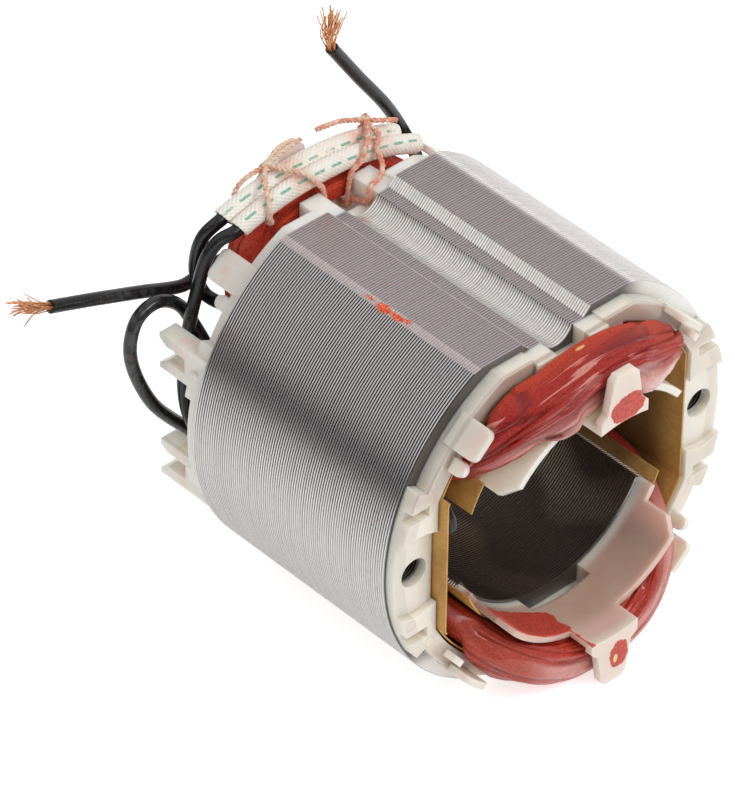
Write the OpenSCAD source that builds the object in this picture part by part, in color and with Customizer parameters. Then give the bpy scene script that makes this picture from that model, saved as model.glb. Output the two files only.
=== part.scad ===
// Field stator of a small universal motor.
// Millimetres. Origin on the bore axis at the middle of the stack, Z up, front end towards -Y.

/* [Lamination stack] */
// Outside diameter of the laminations
stack_d = 70; // [69:0.2:72]
// Number of laminations
lamination_count = 88; // [70:1:110]
// Thickness of one lamination
lamination_t = 0.495; // [0.45:0.005:0.55]
// Distance from the top flat to the bottom flat
flat_span = 61.8; // [59:0.1:64]
// Diameter of the armature bore
bore_d = 41.8; // [41:0.1:42.4]
// Angle spanned by each pole face
pole_arc = 126; // [118:1:130]
// Thickness of the pole tips behind the bore
tip_t = 1.9; // [1.6:0.05:2.1]
// Width of the pole necks
neck_w = 23; // [21:0.2:24]
// Inside radius of the yoke behind the coils
yoke_r = 29.2; // [27:0.05:31]
// Distance between the flat outer walls of the two slots
slot_span = 52.8; // [48:0.1:57]
// Distance between the two through bolt holes
hole_span = 60.6; // [58:0.1:62]
// Diameter of the bolt holes in the laminations
hole_d = 4.4; // [3.6:0.1:4.8]
// Width of the keyways at the flats
keyway_w = 14.4; // [13:0.2:14.8]
// Depth of the keyway ledges under the flats
keyway_ledge = 1.75; // [1.4:0.05:2]
// Width of the round groove in each keyway
groove_w = 6.6; // [5.8:0.1:7]
// Depth of the round groove under the ledge
groove_depth = 2.3; // [1.6:0.1:2.6]
// Width of the narrow lands between the flats and the round outside
land_w = 1.5; // [0.8:0.1:2.4]

/* [End frames] */
// Thickness of the end frame plates
plate_t = 3; // [2.6:0.05:3.2]
// Thickness left round the bolt holes
recess_t = 1.7; // [1.2:0.1:2.2]
// Radius of the recess round each bolt hole
recess_r = 7.8; // [6.5:0.1:8.2]
// Diameter of the bolt holes in the end frames
frame_hole_d = 5.1; // [4.9:0.1:6]
// Angle of the wide side lobes above and below the bolt holes
lobe_angle = 28; // [26:0.5:30]
// Width of the pockets in the side lobes
pocket_w = 2; // [1.2:0.1:2.6]
// Axial length of the pole tongues
tongue_l = 10.3; // [8:0.1:11.5]
// Thickness of the pole tongues
tongue_t = 1.2; // [0.9:0.05:1.3]
// Width of the notch at the foot of each tongue
notch_w = 12.8; // [8:0.2:16]
// Width of the tongue stems
stem_w = 9.8; // [8:0.2:10.4]
// Thickness of the coil hooks
hook_t = 1.5; // [1:0.1:1.8]
// Radius reached by the coil hooks
hook_r = 30.8; // [29:0.1:31.4]
// Width of the coil retaining tabs
tab_w = 5.6; // [4:0.1:6.4]
// Length of the coil retaining tabs from the stack
tab_l = 7.8; // [6:0.1:9]
// Thickness of the tabs and pegs
tab_t = 1.15; // [1:0.05:1.5]
// Width of the small pegs
peg_w = 2.4; // [1.8:0.1:2.8]
// Length of the small pegs from the stack
peg_l = 6.2; // [4.5:0.1:6.6]
// Opening of the wire forks on the rear frame
fork_gap = 2.9; // [2.6:0.1:3.2]
// Length of the wire forks from the stack
fork_l = 10.8; // [9:0.1:12]

/* [Field coils] */
// Gap from the stack to the front end turns
front_gap = 4; // [3.8:0.1:4.6]
// Gap from the stack to the rear end turns
rear_gap = 6.3; // [6.2:0.1:6.8]
// Axial depth of the end turns
turn_depth = 9.2; // [8:0.1:9.4]
// Radial height of the front end turns
front_h = 7.4; // [6.6:0.1:8]
// Radial height of the rear end turns
rear_h = 5; // [4.5:0.1:5.6]
// How far the upper front end turn hangs down before its tongue
coil_sag = 2.2; // [0:0.1:2.3]

/* [Slot liners] */
// Thickness of the insulating paper
paper_t = 0.3; // [0.2:0.02:0.34]
// Length of the paper beyond the stack
paper_out = 4.7; // [3.4:0.1:5.2]
// How far the right liner has been pushed back
paper_back = 2.4; // [0:0.1:2.6]
// Angle by which the paper flaps pass the pole tips
flap_angle = 5.5; // [2:0.5:7]

/* [Leads, sleeves and ties] */
// Outside diameter of the lead wires
lead_d = 2.2; // [1.8:0.05:2.25]
// Outside diameter of the braided sleeves
sleeve_d = 3.5; // [3.2:0.05:4]
// Wall of the braided sleeves
sleeve_wall = 0.4; // [0.3:0.02:0.46]
// Diameter of the lacing string
string_d = 1; // [0.7:0.05:1.05]
// Diameter of one copper strand
strand_d = 0.3; // [0.2:0.02:0.4]

/* [Hidden] */
round_fn = 160;
half_l = lamination_count * lamination_t / 2;
flat_z = flat_span / 2;
slot_x = slot_span / 2;
hole_x = hole_span / 2;
// sheet left round a bolt hole wherever the outside or a slot comes near it
hole_wall = 1.2;
// half the angle between a flat and the outside where they meet, and how far out the land there lies
land_turn = 45 - asin(min(1, flat_span / stack_d)) / 2;
land_r = stack_d / 2 * cos(land_turn) - land_w / 2 * tan(land_turn);
ledge_z = flat_z - keyway_ledge;
groove_r = (pow(groove_w / 2, 2) + pow(groove_depth, 2)) / (2 * groove_depth);
tip_r = bore_d / 2 + tip_t;
mouth = 90 - pole_arc / 2;
// the frames stand clear of the paper, of the bore and of the stack edge by these
frame_gap = 0.3;
tongue_in = tip_r - 0.1 - tongue_t;
lobe_r = stack_d / 2 - 0.4;
// the plate ends a little over the keyway ledge, and closes over the slots
plate_z = max(ledge_z + 0.45, sqrt(pow(yoke_r + frame_gap, 2) - pow(neck_w / 2 - frame_gap, 2)) + 1.2);
tongue_end = 34;
paper_gap = 0.05;
// axial ends of the two end turns, and where the hooks close over them
front_turn = front_gap + turn_depth;
rear_turn = rear_gap + turn_depth;
hook_gap = 0.5;
lug_clear = 0.2;
// coil section in the slots and in the end turns
coil_ref = 26;
slot_in = tip_r + paper_t + 0.1;
slot_out = yoke_r - paper_t - 0.3;
// the front end turn lies down on its tongue, the rear one leaves room for the lacing
front_in = slot_in + 0.1;
front_out = front_in + front_h;
rear_in = slot_in + string_d;
rear_out = rear_in + rear_h;
side_drop = 0.2;
// the rim clears the stack edge, carries the tabs outside the end turn and closes round the slots
rim_r = max(stack_d / 2 - 2.4, front_out + tab_t + 0.5, yoke_r + frame_gap + 1.5);
coil_in_w = coil_ref * asin((neck_w / 2 + paper_t + 0.15) / slot_in) * PI / 180;
// the coils end at the slot wall, and short of each other where the wall lies further out
coil_apart = 22;
coil_edge = min(90 - coil_apart, asin(min(1, (slot_x - paper_t + 0.4) / slot_out)));
coil_out_w = coil_ref * coil_edge * PI / 180;
rear_tab = 1.1;
// sleeves lie on the rear end turn side by side and rise off it towards their ends
sleeve_r = rear_out + sleeve_d / 2 + 0.1;
sleeve_step = sleeve_d / 2 + 0.05;
sleeve_mid = rear_gap + sleeve_d + 0.05;
sleeve_lift = 3.2;
sleeve_end = 122.5;
outer_from = 57;
inner_from = 54.5;
// lacing: half a string and a little air off the coil, the sleeves and the lugs
off = string_d / 2 + 0.1;
under = rear_in - string_d / 2 - 0.1;
turn_front = rear_gap - off;
turn_back = rear_turn + off;
sleeve_front = sleeve_mid - sleeve_step - sleeve_d / 2 - off;
sleeve_back = sleeve_mid + sleeve_step + sleeve_d / 2 + off;
lug_x = groove_w / 2 + 0.1;
slot_a = asin((lug_x - off - 0.4) / (rear_out - 2.2));
// lead routes, as [across, behind the rear face of the stack, up]
left_route = [[-49.4, 16.2, 25], [-40, 16.2, 21.6], [-30, 16.2, 17.8], [-22.6, 16.2, 15],
              [-18, 15.6, 16.4], [-16, 12.3, 19.8]];
top_route = [[8, 15.8, 46], [14, 15.8, 37.2], [19, 15.8, 30.2], [22.6, 15.8, 24],
             [23.4, 12.8, 19.4], [21.6, 8.5, 16.8]];
// the sleeved leads from their sleeves on, as [angle, outside the rear end turn, behind its front]
outer_route = [[129, 4.14, 6.7], [134.2, 2.34, 7.3], [140.3, -0.37, 7.3], [144.7, -2.23, 5.1],
               [143.9, -2.72, 1.4]];
inner_route = [[127.7, 4.94, 3.1], [133.5, 3.62, 4.3], [142.2, 1.16, 4.7], [155.1, -0.75, 4.8],
               [171.6, -1.91, 4.8], [184.3, -2.23, 4.8], [195.1, -2.37, 4.5], [204.9, -2.09, 2.7],
               [211.7, -2.17, -1.6]];
// the lead that loops, behind the rear face like the others
loop_rear = [[-23.2, 4, 4], [-23.4, 10.6, 8], [-25, 13.8, 13.4], [-30, 13.6, 17.2], [-34.4, 13.4, 16.2],
             [-36, 13.4, 11.2], [-34.8, 13.4, 5], [-31.4, 13.4, -2.4], [-26.6, 13.6, -8.6],
             [-22.2, 12.2, -13.6], [-20.6, 8.2, -16.4]];
// the same lead inside the slot and at the front, as [across, before the front face, up]
loop_front = [[-23, 0.2, 8], [-22.5, 1.4, 4.8], [-22.4, -1.6, 1.8], [-23.2, -8, 1.2]];
steel = [0.62, 0.61, 0.62];
nylon = [0.9, 0.88, 0.82];
varnish = [0.66, 0.14, 0.09];
paper = [0.78, 0.58, 0.3];
braid = [0.94, 0.91, 0.86];
twine = [0.94, 0.74, 0.64];
sheath = [0.1, 0.1, 0.11];
copper = [0.8, 0.5, 0.3];

// local axes of an end: across, up, and away from the stack
module at_front() {
  translate([0, -half_l, 0])
    rotate([90, 0, 0])
      children();
}

module at_rear() {
  mirror([0, 1, 0])
    at_front()
      children();
}

module rod(r, reach) {
  rotate([90, 0, 0])
    cylinder(h = 2 * reach, r = r, center = true, $fn = round_fn);
}

module wedge(half, reach) {
  rotate([90, 0, 0])
    translate([0, 0, -reach])
      linear_extrude(2 * reach)
        polygon([[0, 0], [80, -80 * tan(half)], [80, 80 * tan(half)]]);
}

// round wall about the right-hand bolt hole
module bolt_wall(wall, reach) {
  translate([hole_x, 0, 0])
    rod(hole_d / 2 + wall, reach);
}

// space of the right-hand slot, opened out by gap, with tips to the given angle
module slot_space(gap, tips, reach) {
  difference() {
    intersection() {
      rod(yoke_r + gap, reach);
      translate([neck_w / 2 - gap, -reach, -40])
        cube([slot_x - neck_w / 2 + 2 * gap, 2 * reach, 80]);
    }
    bolt_wall(hole_wall - gap, reach + 1);
    difference() {
      rod(tip_r - gap, reach + 1);
      wedge(tips, reach + 2);
    }
  }
}

module keyway() {
  translate([0, half_l + 1, 0])
    rotate([90, 0, 0])
      linear_extrude(2 * half_l + 2)
        polygon([[-keyway_w / 2 - 2, flat_z + 2], [keyway_w / 2 + 2, flat_z + 2],
                 [keyway_w / 2 - keyway_ledge, ledge_z], [keyway_w / 2 * -1 + keyway_ledge, ledge_z]]);
  translate([0, 0, ledge_z - groove_depth + groove_r])
    rod(groove_r, half_l + 1);
}

module lamination_stack() {
  color(steel)
    difference() {
      union() {
        intersection() {
          rod(stack_d / 2, half_l);
          cube([stack_d + 2, 2 * half_l + 2, 2 * flat_z], center = true);
          intersection_for (a = [-land_turn, land_turn])
            rotate([0, a, 0])
              cube([stack_d + 2, 2 * half_l + 2, 2 * land_r], center = true);
        }
        for (side = [0, 1])
          mirror([side, 0, 0])
            bolt_wall(hole_wall, half_l);
      }
      rod(bore_d / 2, half_l + 1);
      for (side = [0, 1])
        mirror([side, 0, 0])
          slot_space(0, mouth, half_l + 1);
      for (x = [-hole_x, hole_x])
        translate([x, 0, 0])
          rod(hole_d / 2, half_l + 1);
      for (side = [0, 1])
        mirror([0, 0, side])
          keyway();
    }
}

// flat upstand with rounded free corners, standing on the radius r
module upstand(r, wide, foot, tall, corner) {
  translate([r, 0, 0])
    rotate([90, 0, 90])
      linear_extrude(tab_t) {
        translate([-wide / 2, foot])
          square([wide, tall - corner - foot]);
        translate([corner - wide / 2, foot])
          square([wide - 2 * corner, tall - foot]);
        for (x = [corner - wide / 2, wide / 2 - corner])
          translate([x, tall - corner])
            circle(r = corner, $fn = 32);
      }
}

module frame_plate(lug_l) {
  difference() {
    union() {
      intersection() {
        cylinder(h = plate_t, r = rim_r, $fn = round_fn);
        translate([-40, -plate_z, -1])
          cube([80, 2 * plate_z, plate_t + 2]);
      }
      intersection() {
        cylinder(h = plate_t, r = lobe_r, $fn = round_fn);
        translate([0, 0, -1])
          linear_extrude(plate_t + 2) {
            polygon([[0, 0], [60, -60 * tan(lobe_angle)], [60, 60 * tan(lobe_angle)]]);
            polygon([[0, 0], [-60, -60 * tan(lobe_angle)], [-60, 60 * tan(lobe_angle)]]);
          }
      }
      for (x = [-hole_x, hole_x])
        translate([x, 0, 0])
          cylinder(h = plate_t, r = frame_hole_d / 2 + hole_wall, $fn = 48);
    }
    translate([0, 0, -1])
      cylinder(h = plate_t + 2, r = tongue_in, $fn = round_fn);
    translate([-notch_w / 2, -tip_r - 1, -1])
      cube([notch_w, 2 * tip_r + 2, plate_t + 2]);
    for (side = [0, 1])
      mirror([side, 0, 0])
        rotate([-90, 0, 0])
          slot_space(frame_gap, mouth, 20);
    for (x = [-hole_x, hole_x]) {
      translate([x, 0, -1])
        cylinder(h = plate_t + 2, d = frame_hole_d, $fn = 48);
      translate([x, 0, recess_t])
        cylinder(h = plate_t, r = recess_r, $fn = 96);
    }
    for (side = [0, 1], end = [0, 1])
      mirror([side, 0, 0])
        mirror([0, end, 0]) {
          translate([slot_x + 2, recess_r + 3.2, 1.2])
            cube([12, pocket_w, plate_t]);
          translate([-1, ledge_z, -1])
            cube([keyway_w / 2 + 1.2, 4, plate_t + 2]);
          translate([-1, ledge_z - groove_depth - 1.2, -1])
            cube([lug_x + 1, 8, plate_t + 2]);
        }
  }
  for (side = [0, 1], end = [0, 1])
    mirror([side, 0, 0])
      mirror([0, end, 0])
        translate([lug_x, ledge_z - 3.6, 0])
          cube([keyway_w / 2 + 0.2 - lug_x, 3.6, lug_l]);
}

module tongue(stem_l) {
  difference() {
    intersection() {
      difference() {
        cylinder(h = tongue_l, r = tongue_in + tongue_t, $fn = round_fn);
        translate([0, 0, -1])
          cylinder(h = tongue_l + 2, r = tongue_in, $fn = round_fn);
      }
      translate([0, 0, -1])
        linear_extrude(tongue_l + 2)
          polygon([[0, 0], [60, 60 * tan(tongue_end)], [-60, 60 * tan(tongue_end)]]);
    }
    for (a = [tongue_end, 180 - tongue_end])
      rotate([0, 0, a])
        translate([tongue_in, 0, tongue_l])
          rotate([45, 0, 0])
            cube([8, 3.6, 3.6], center = true);
    translate([-notch_w / 2, 0, -1])
      cube([notch_w, 40, plate_t + 1]);
  }
  intersection() {
    difference() {
      cylinder(h = stem_l, r = tongue_in + tongue_t, $fn = round_fn);
      translate([0, 0, -1])
        cylinder(h = stem_l + 2, r = tongue_in, $fn = round_fn);
    }
    translate([-stem_w / 2, 0, tongue_l - 0.5])
      cube([stem_w, 40, stem_l]);
  }
  difference() {
    translate([0, 0, stem_l - hook_t])
      linear_extrude(hook_t)
        polygon([[-stem_w / 2, tongue_in - 0.6], [stem_w / 2, tongue_in - 0.6],
                 [stem_w / 2, tongue_in + 1.5], [stem_w / 2 - 0.4, tongue_in + 2], [3.6, tongue_in + 2.6],
                 [2.6, hook_r - 0.9], [1.8, hook_r], [-1.8, hook_r], [-2.6, hook_r - 0.9],
                 [-3.6, tongue_in + 2.6], [0.4 - stem_w / 2, tongue_in + 2], [-stem_w / 2, tongue_in + 1.5]]);
    translate([0, 0, tongue_l])
      cylinder(h = stem_l, r = tongue_in, $fn = round_fn);
  }
}

module end_frame(gap, turn, tall) {
  frame_plate(gap - lug_clear);
  for (end = [0, 1])
    mirror([0, end, 0])
      tongue(turn + hook_gap + hook_t);
  for (side = [0, 1], end = [0, 1])
    mirror([side, 0, 0])
      mirror([0, end, 0]) {
        rotate([0, 0, 47])
          upstand(rim_r - tab_t + 0.2, tab_w, 1, tall, 1.2);
        rotate([0, 0, 38.2])
          upstand(yoke_r + 1, peg_w, 1, peg_l, peg_w / 2 - 0.05);
      }
}

module front_end_frame() {
  color(nylon)
    at_front()
      end_frame(front_gap, front_turn, tab_l);
}

module wire_fork() {
  translate([-slot_x - 5.8, recess_r - 0.6, 0])
    rotate([90, 0, 90])
      linear_extrude(3.4)
        polygon([[0, 0], [4 + fork_gap, 0], [4 + fork_gap, fork_l], [3 + fork_gap, fork_l],
                 [2 + fork_gap, fork_l - 1.5], [2 + fork_gap, 5], [2, 5], [2, fork_l - 1.5],
                 [1, fork_l], [0, fork_l]]);
}

module rear_end_frame() {
  color(nylon)
    at_rear() {
      end_frame(rear_gap, rear_turn, tab_l + rear_tab);
      for (end = [0, 1])
        mirror([0, end, 0])
          wire_fork();
    }
}

module slot_liner(back) {
  reach = half_l + paper_out;
  difference() {
    translate([0, back, 0])
      difference() {
        intersection() {
          rod(yoke_r - paper_gap, reach);
          translate([neck_w / 2, -reach, -40])
            cube([slot_x - neck_w / 2, 2 * reach, 80]);
        }
        rod(tip_r + paper_gap, reach + 1);
        bolt_wall(hole_wall + paper_gap, reach + 1);
        difference() {
          intersection() {
            rod(yoke_r - paper_t, reach + 1);
            translate([neck_w / 2 + paper_t, -reach - 1, -40])
              cube([slot_x - neck_w / 2 - 2 * paper_t, 2 * reach + 2, 80]);
          }
          bolt_wall(hole_wall + paper_t, reach + 2);
          difference() {
            rod(tip_r + paper_t, reach + 2);
            wedge(mouth - flap_angle, reach + 3);
          }
        }
      }
    // the collar beyond the frames is left at the slot walls and the flaps only
    for (end = [0, 1], half = [0, 1])
      mirror([0, end, 0])
        mirror([0, 0, half])
          translate([0, half_l + plate_t, 13])
            cube([40, 20, 30]);
  }
}

module left_slot_liner() {
  color(paper)
    mirror([1, 0, 0])
      slot_liner(0);
}

module right_slot_liner() {
  color(paper)
    slot_liner(paper_back);
}

// one quarter of a rounded oblong w by l, from its side to its end
function quarter(w, l, r, n) = concat([[w, (l - r[1]) / 2]],
  [for (i = [0:n]) [w - r[0] + r[0] * cos(90 * i / n), l - r[1] + r[1] * sin(90 * i / n)]],
  [[(w - r[0]) / 2, l]]);
function flip(p) = [for (i = [len(p) - 1:-1:0]) [-p[i][0], p[i][1]]];
function turn(p) = [for (q = p) -q];
function oblong(w, rear, front, r, n) = concat([[w, 0]], quarter(w, rear, r, n), [[0, rear]],
  flip(quarter(w, rear, r, n)), [[-w, 0]], turn(quarter(w, front, r, n)), [[0, -front]],
  turn(flip(quarter(w, front, r, n))));
function soft(x) = let (t = max(0, min(1, x))) t * t * (3 - 2 * t);
function mix(a, b, t) = a * (1 - t) + b * t;
function power(x, e) = sign(x) * pow(abs(x), e);
// the winding is packed squarest beside the plates, and again over the front of the tongue, more so
// at the right where it hangs
function packed(t, p, sag) = t > 90 && t < 180 ? 0.45 : t < 270 ? 0.75 : sag == 0 ? 0.6
  : mix(0.6, 0.3, soft((p[0] - 6) / 9) * soft((-p[1] - half_l - plate_t) / 3));
// point of the coil skin between the inner and the outer edge of the winding
function coil_point(a, b, u, v, sag) = let (
  p = mix(a, b, (u + 1) / 2),
  angle = p[0] / coil_ref * 180 / PI,
  rise = soft((abs(p[1]) - half_l - plate_t - 0.5) / 1.8),
  hang = p[1] > 0 ? 0 : sag * soft((-p[1] - half_l - tongue_l - 0.4) / 1.4)
    * soft((abs(p[0]) * tip_r / coil_ref - stem_w / 2 - 0.3) / 2),
  low = mix(slot_in, p[1] < 0 ? front_in : rear_in, rise) - hang,
  high = mix(slot_out, p[1] < 0 ? front_out - side_drop * min(1, abs(angle) / 55) : rear_out, rise),
  r = mix(low, high, (v + 1) / 2)) [r * sin(angle), p[1], r * cos(angle)];

// faces of a skin of rows by columns, closed round its columns
function skin(rows, cols, joined) = [for (i = [0:rows - (joined ? 1 : 2)], j = [0:cols - 1], k = [0, 1])
  let (a = i * cols, b = (i + 1) % rows * cols, c = (j + 1) % cols)
    k == 0 ? [a + j, a + c, b + c] : [a + j, b + c, b + j]];

module field_coil(sag) {
  cols = 18;
  inner = oblong(coil_in_w, half_l + rear_gap, half_l + front_gap, [4, 3], 14);
  outer = oblong(coil_out_w, half_l + rear_turn, half_l + front_turn,
                 [coil_out_w - 3.9, half_l + 3.2], 14);
  points = [for (i = [0:len(inner) - 1], j = [0:cols - 1])
    let (t = 360 * j / cols, e = packed(t, outer[i], sag))
      coil_point(inner[i], outer[i], power(cos(t), e), power(sin(t), e), sag)];
  polyhedron(points, skin(len(inner), cols, true));
}

module upper_field_coil() {
  color(varnish)
    field_coil(coil_sag);
}

module lower_field_coil() {
  color(varnish)
    mirror([0, 0, 1])
      field_coil(0);
}

function unit(v) = v / norm(v);
function tangent(p, i) = unit(p[min(i + 1, len(p) - 1)] - p[max(i - 1, 0)]);
function square_to(n, t) = unit(n - (n * t) * t);
function normals(p, first) = [for (i = 0, n = square_to(first, tangent(p, 0)); i < len(p);
  i = i + 1, n = square_to(n, tangent(p, min(i, len(p) - 1)))) n];
// curve through the route points with two spans between neighbours
function ease(p) = [for (i = [0:len(p) - 1], k = [0, 1]) if (k == 0 || i < len(p) - 1)
  k == 0 ? p[i] : (9 * (p[i] + p[i + 1]) - p[max(i - 1, 0)] - p[min(i + 2, len(p) - 1)]) / 16];
function behind(p) = [for (q = p) [q[0], half_l + q[1], q[2]]];
function before(p) = [for (q = p) [q[0], -half_l - q[1], q[2]]];

function inside_out(faces) = [for (q = faces) [q[0], q[2], q[1]]];

module tube(p, d, sides, first) {
  n = normals(p, first);
  points = [for (i = [0:len(p) - 1], j = [0:sides - 1]) let (t = tangent(p, i))
    p[i] + d / 2 * (cos(360 * j / sides) * n[i] + sin(360 * j / sides) * cross(t, n[i]))];
  caps = [[for (j = [0:sides - 1]) j], [for (j = [sides - 1:-1:0]) (len(p) - 1) * sides + j]];
  polyhedron(points, concat(inside_out(skin(len(p), sides, false)), caps));
}

// course of a sleeve over the rear end turn
function sleeve_at(a) = sleeve_r + sleeve_lift * pow((a - 86) / 38, 2) * (a < 86 ? 0.6 : 1);
function polar(a, r, depth) = [r * cos(a), depth, r * sin(a)];
function over_coil(depth, from, to, n) = [for (i = [0:n]) let (a = mix(from, to, i / n))
  polar(a, sleeve_at(a), depth)];

// the lead in a sleeve follows the same points, from just inside the sleeve's end to just out of it
function in_sleeve(depth, from) = let (p = over_coil(depth, from, sleeve_end, 9))
  concat([mix(p[0], p[1], 0.3)], [for (i = [1:9]) p[i]], past_end(depth, 1.5));
function past_end(depth, more) = [polar(sleeve_end + more, sleeve_at(sleeve_end + more), depth)];
function around(route) = [for (p = route) polar(p[0], rear_out + p[1], rear_gap + p[2])];

module lead_sleeve(depth, from) {
  course = over_coil(depth, from, sleeve_end, 9);
  difference() {
    tube(behind(course), sleeve_d, 12, [0, 1, 0]);
    tube(behind(concat([polar(from - 2, sleeve_at(from - 2), depth)], course, past_end(depth, 2))),
         sleeve_d - 2 * sleeve_wall, 12, [0, 1, 0]);
  }
}

module outer_lead_sleeve() {
  color(braid)
    lead_sleeve(sleeve_mid + sleeve_step, outer_from);
}

module inner_lead_sleeve() {
  color(braid)
    lead_sleeve(sleeve_mid - sleeve_step, inner_from);
}

module outer_sleeved_wire() {
  color(sheath)
    tube(behind(concat(in_sleeve(sleeve_mid + sleeve_step, outer_from), around(outer_route))),
         lead_d, 8, [0, 1, 0]);
}

module inner_sleeved_wire() {
  color(sheath)
    tube(behind(concat(in_sleeve(sleeve_mid - sleeve_step, inner_from), around(inner_route))),
         lead_d, 8, [0, 1, 0]);
}

module loop_wire() {
  color(sheath)
    tube(ease(concat(before(loop_front), [[-23.4, 0, 1.8]], behind(loop_rear))), lead_d, 8, [1, 0, 0]);
}

module left_lead() {
  color(sheath)
    tube(ease(behind(left_route)), lead_d, 8, [0, 1, 0]);
}

module top_lead() {
  color(sheath)
    tube(ease(behind(top_route)), lead_d, 8, [0, 1, 0]);
}

// frayed strands that leave the end of a lead and spread
module strands(route, bend) {
  p = behind(route);
  along = unit(p[0] - p[1]);
  side = square_to([0, 1, 0], along);
  other = cross(along, side);
  for (k = [0:6]) {
    out = cos(360 / 7 * k) * side + sin(360 / 7 * k) * other;
    tall = 6 + k % 3 * 0.8;
    tube([for (t = [0:0.25:1]) p[0] + along * (0.08 + tall * t) + out * (0.55 + 0.9 * t * t) + bend * t * t],
         strand_d, 6, out);
  }
}

module left_lead_strands() {
  color(copper)
    strands(left_route, [-0.4, 0, 1.2]);
}

module top_lead_strands() {
  color(copper)
    strands(top_route, [3, 0, 1.2]);
}

// lacing string over both sleeves and down behind the lugs, by angles at the knot and in the slot
function above(a) = sleeve_at(a) + sleeve_d / 2 + off;
function knot_at(a) = polar(a, above(a) + 0.25, sleeve_mid + sleeve_step + 1);
function over(a, b) = [knot_at(a), polar(mix(a, b, 0.2), above(a), sleeve_mid),
  polar(mix(a, b, 0.45), above(a), sleeve_mid - sleeve_step - 0.6),
  polar(mix(a, b, 0.65), above(mix(a, b, 0.65)) - 0.9, sleeve_front + 0.35),
  polar(mix(a, b, 0.8), sleeve_at(b), sleeve_front), polar(mix(a, b, 0.95), rear_out + 0.9, sleeve_front),
  polar(b, rear_out - 2.2, turn_front), polar(b, rear_in + 0.4, turn_front)];
function back_up(a, b, c) = [polar(mix(b, c, 0.1), under, rear_gap + 0.7),
  polar(mix(b, c, 0.5), under, rear_gap + turn_depth / 2), polar(c, under, rear_turn - 0.7),
  polar(mix(c, a, 0.3), rear_in + 0.6, turn_back), polar(mix(c, a, 0.7), rear_out - 1.2, turn_back),
  polar(a, rear_out + 1.2, turn_back - 1.3), polar(a, sleeve_at(a) - 0.6, sleeve_back + 0.3),
  polar(a, above(a) - 0.5, sleeve_back - 0.5)];

// second turn of the left tie, round the two sleeves only, where they have risen off the coil
function below(a) = sleeve_at(a) - sleeve_d / 2 - off - 0.16;
function round_both(a, b) = [knot_at(a), polar(mix(a, b, 0.3), above(mix(a, b, 0.3)), sleeve_mid + 1.2),
  polar(mix(a, b, 0.65), above(mix(a, b, 0.65)), sleeve_mid - sleeve_step - 0.3),
  polar(mix(a, b, 0.85), above(b) - 0.9, sleeve_front + 0.35), polar(b, sleeve_at(b), sleeve_front),
  polar(b, below(b) + 0.9, sleeve_front + 0.35), polar(b, below(b), sleeve_mid - sleeve_step),
  polar(b, below(b), sleeve_mid + sleeve_step), polar(b, below(b) + 0.9, sleeve_back - 0.35),
  polar(b, sleeve_at(b), sleeve_back), polar(mix(a, b, 0.6), above(mix(a, b, 0.6)) - 0.7, sleeve_back - 0.35),
  knot_at(a)];

module lacing(points) {
  tube(behind(points), string_d, 6, [1, 0, 0]);
}

module knot(a, tails) {
  translate([0, half_l, 0])
    translate(knot_at(a))
      sphere(r = string_d * 1.05, $fn = 12);
  for (tail = tails)
    lacing(ease(concat([knot_at(a)], [for (t = tail) knot_at(a) + t])));
}

module left_lacing_tie() {
  color(twine) {
    lacing(concat(over(104, 90 + slot_a), back_up(105, 90 + slot_a, 104.5), [knot_at(104)]));
    lacing(round_both(104, 115));
    knot(104, [[[2.9, -0.65, 1.55], [6.5, -0.65, 2.05]], [[2.7, 0.55, 1.35], [5.9, 0.65, 1.45]]]);
  }
}

module right_lacing_tie() {
  color(twine) {
    lacing(concat(over(69, 90 - slot_a), back_up(67, 90 - slot_a, 75.5), [knot_at(69)]));
    lacing([knot_at(69), polar(69.5, above(69), sleeve_mid), polar(72, above(69), sleeve_mid - 2.4),
            polar(74.5, above(74.5) - 0.9, sleeve_front + 0.35), [lug_x + 4.4, 3.6, ledge_z + 1.2],
            [lug_x + 2, 1.8, ledge_z + 0.8], [lug_x + 0.3, 1.3, ledge_z + 0.9],
            [lug_x - off - 0.1, 1.2, ledge_z + 0.3], [lug_x - off, 1.2, ledge_z - 2],
            [lug_x - off, 2.6, ledge_z - 2.8], [lug_x - off, turn_front - 0.2, rear_in + 1],
            polar(89 - slot_a, rear_in + 0.3, turn_front - 0.05), polar(88.6 - slot_a, under, rear_gap + 0.7),
            polar(81.5, under, rear_gap + turn_depth / 2)]);
    knot(69, [[[-5.8, -0.45, 2.8], [-10.8, -0.65, 3.8]], [[2, -2, 0], [4.6, -2.4, -1]]]);
  }
}

lamination_stack();
front_end_frame();
rear_end_frame();
upper_field_coil();
lower_field_coil();
left_slot_liner();
right_slot_liner();
outer_lead_sleeve();
inner_lead_sleeve();
left_lacing_tie();
right_lacing_tie();
outer_sleeved_wire();
inner_sleeved_wire();
loop_wire();
left_lead();
left_lead_strands();
top_lead();
top_lead_strands();
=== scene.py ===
from math import acos, asin, cos, degrees, pi, radians, sin, sqrt, tan
import random
import bpy
import numpy as np
from mathutils import Matrix, Vector, noise
from mathutils.geometry import tessellate_polygon


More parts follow.
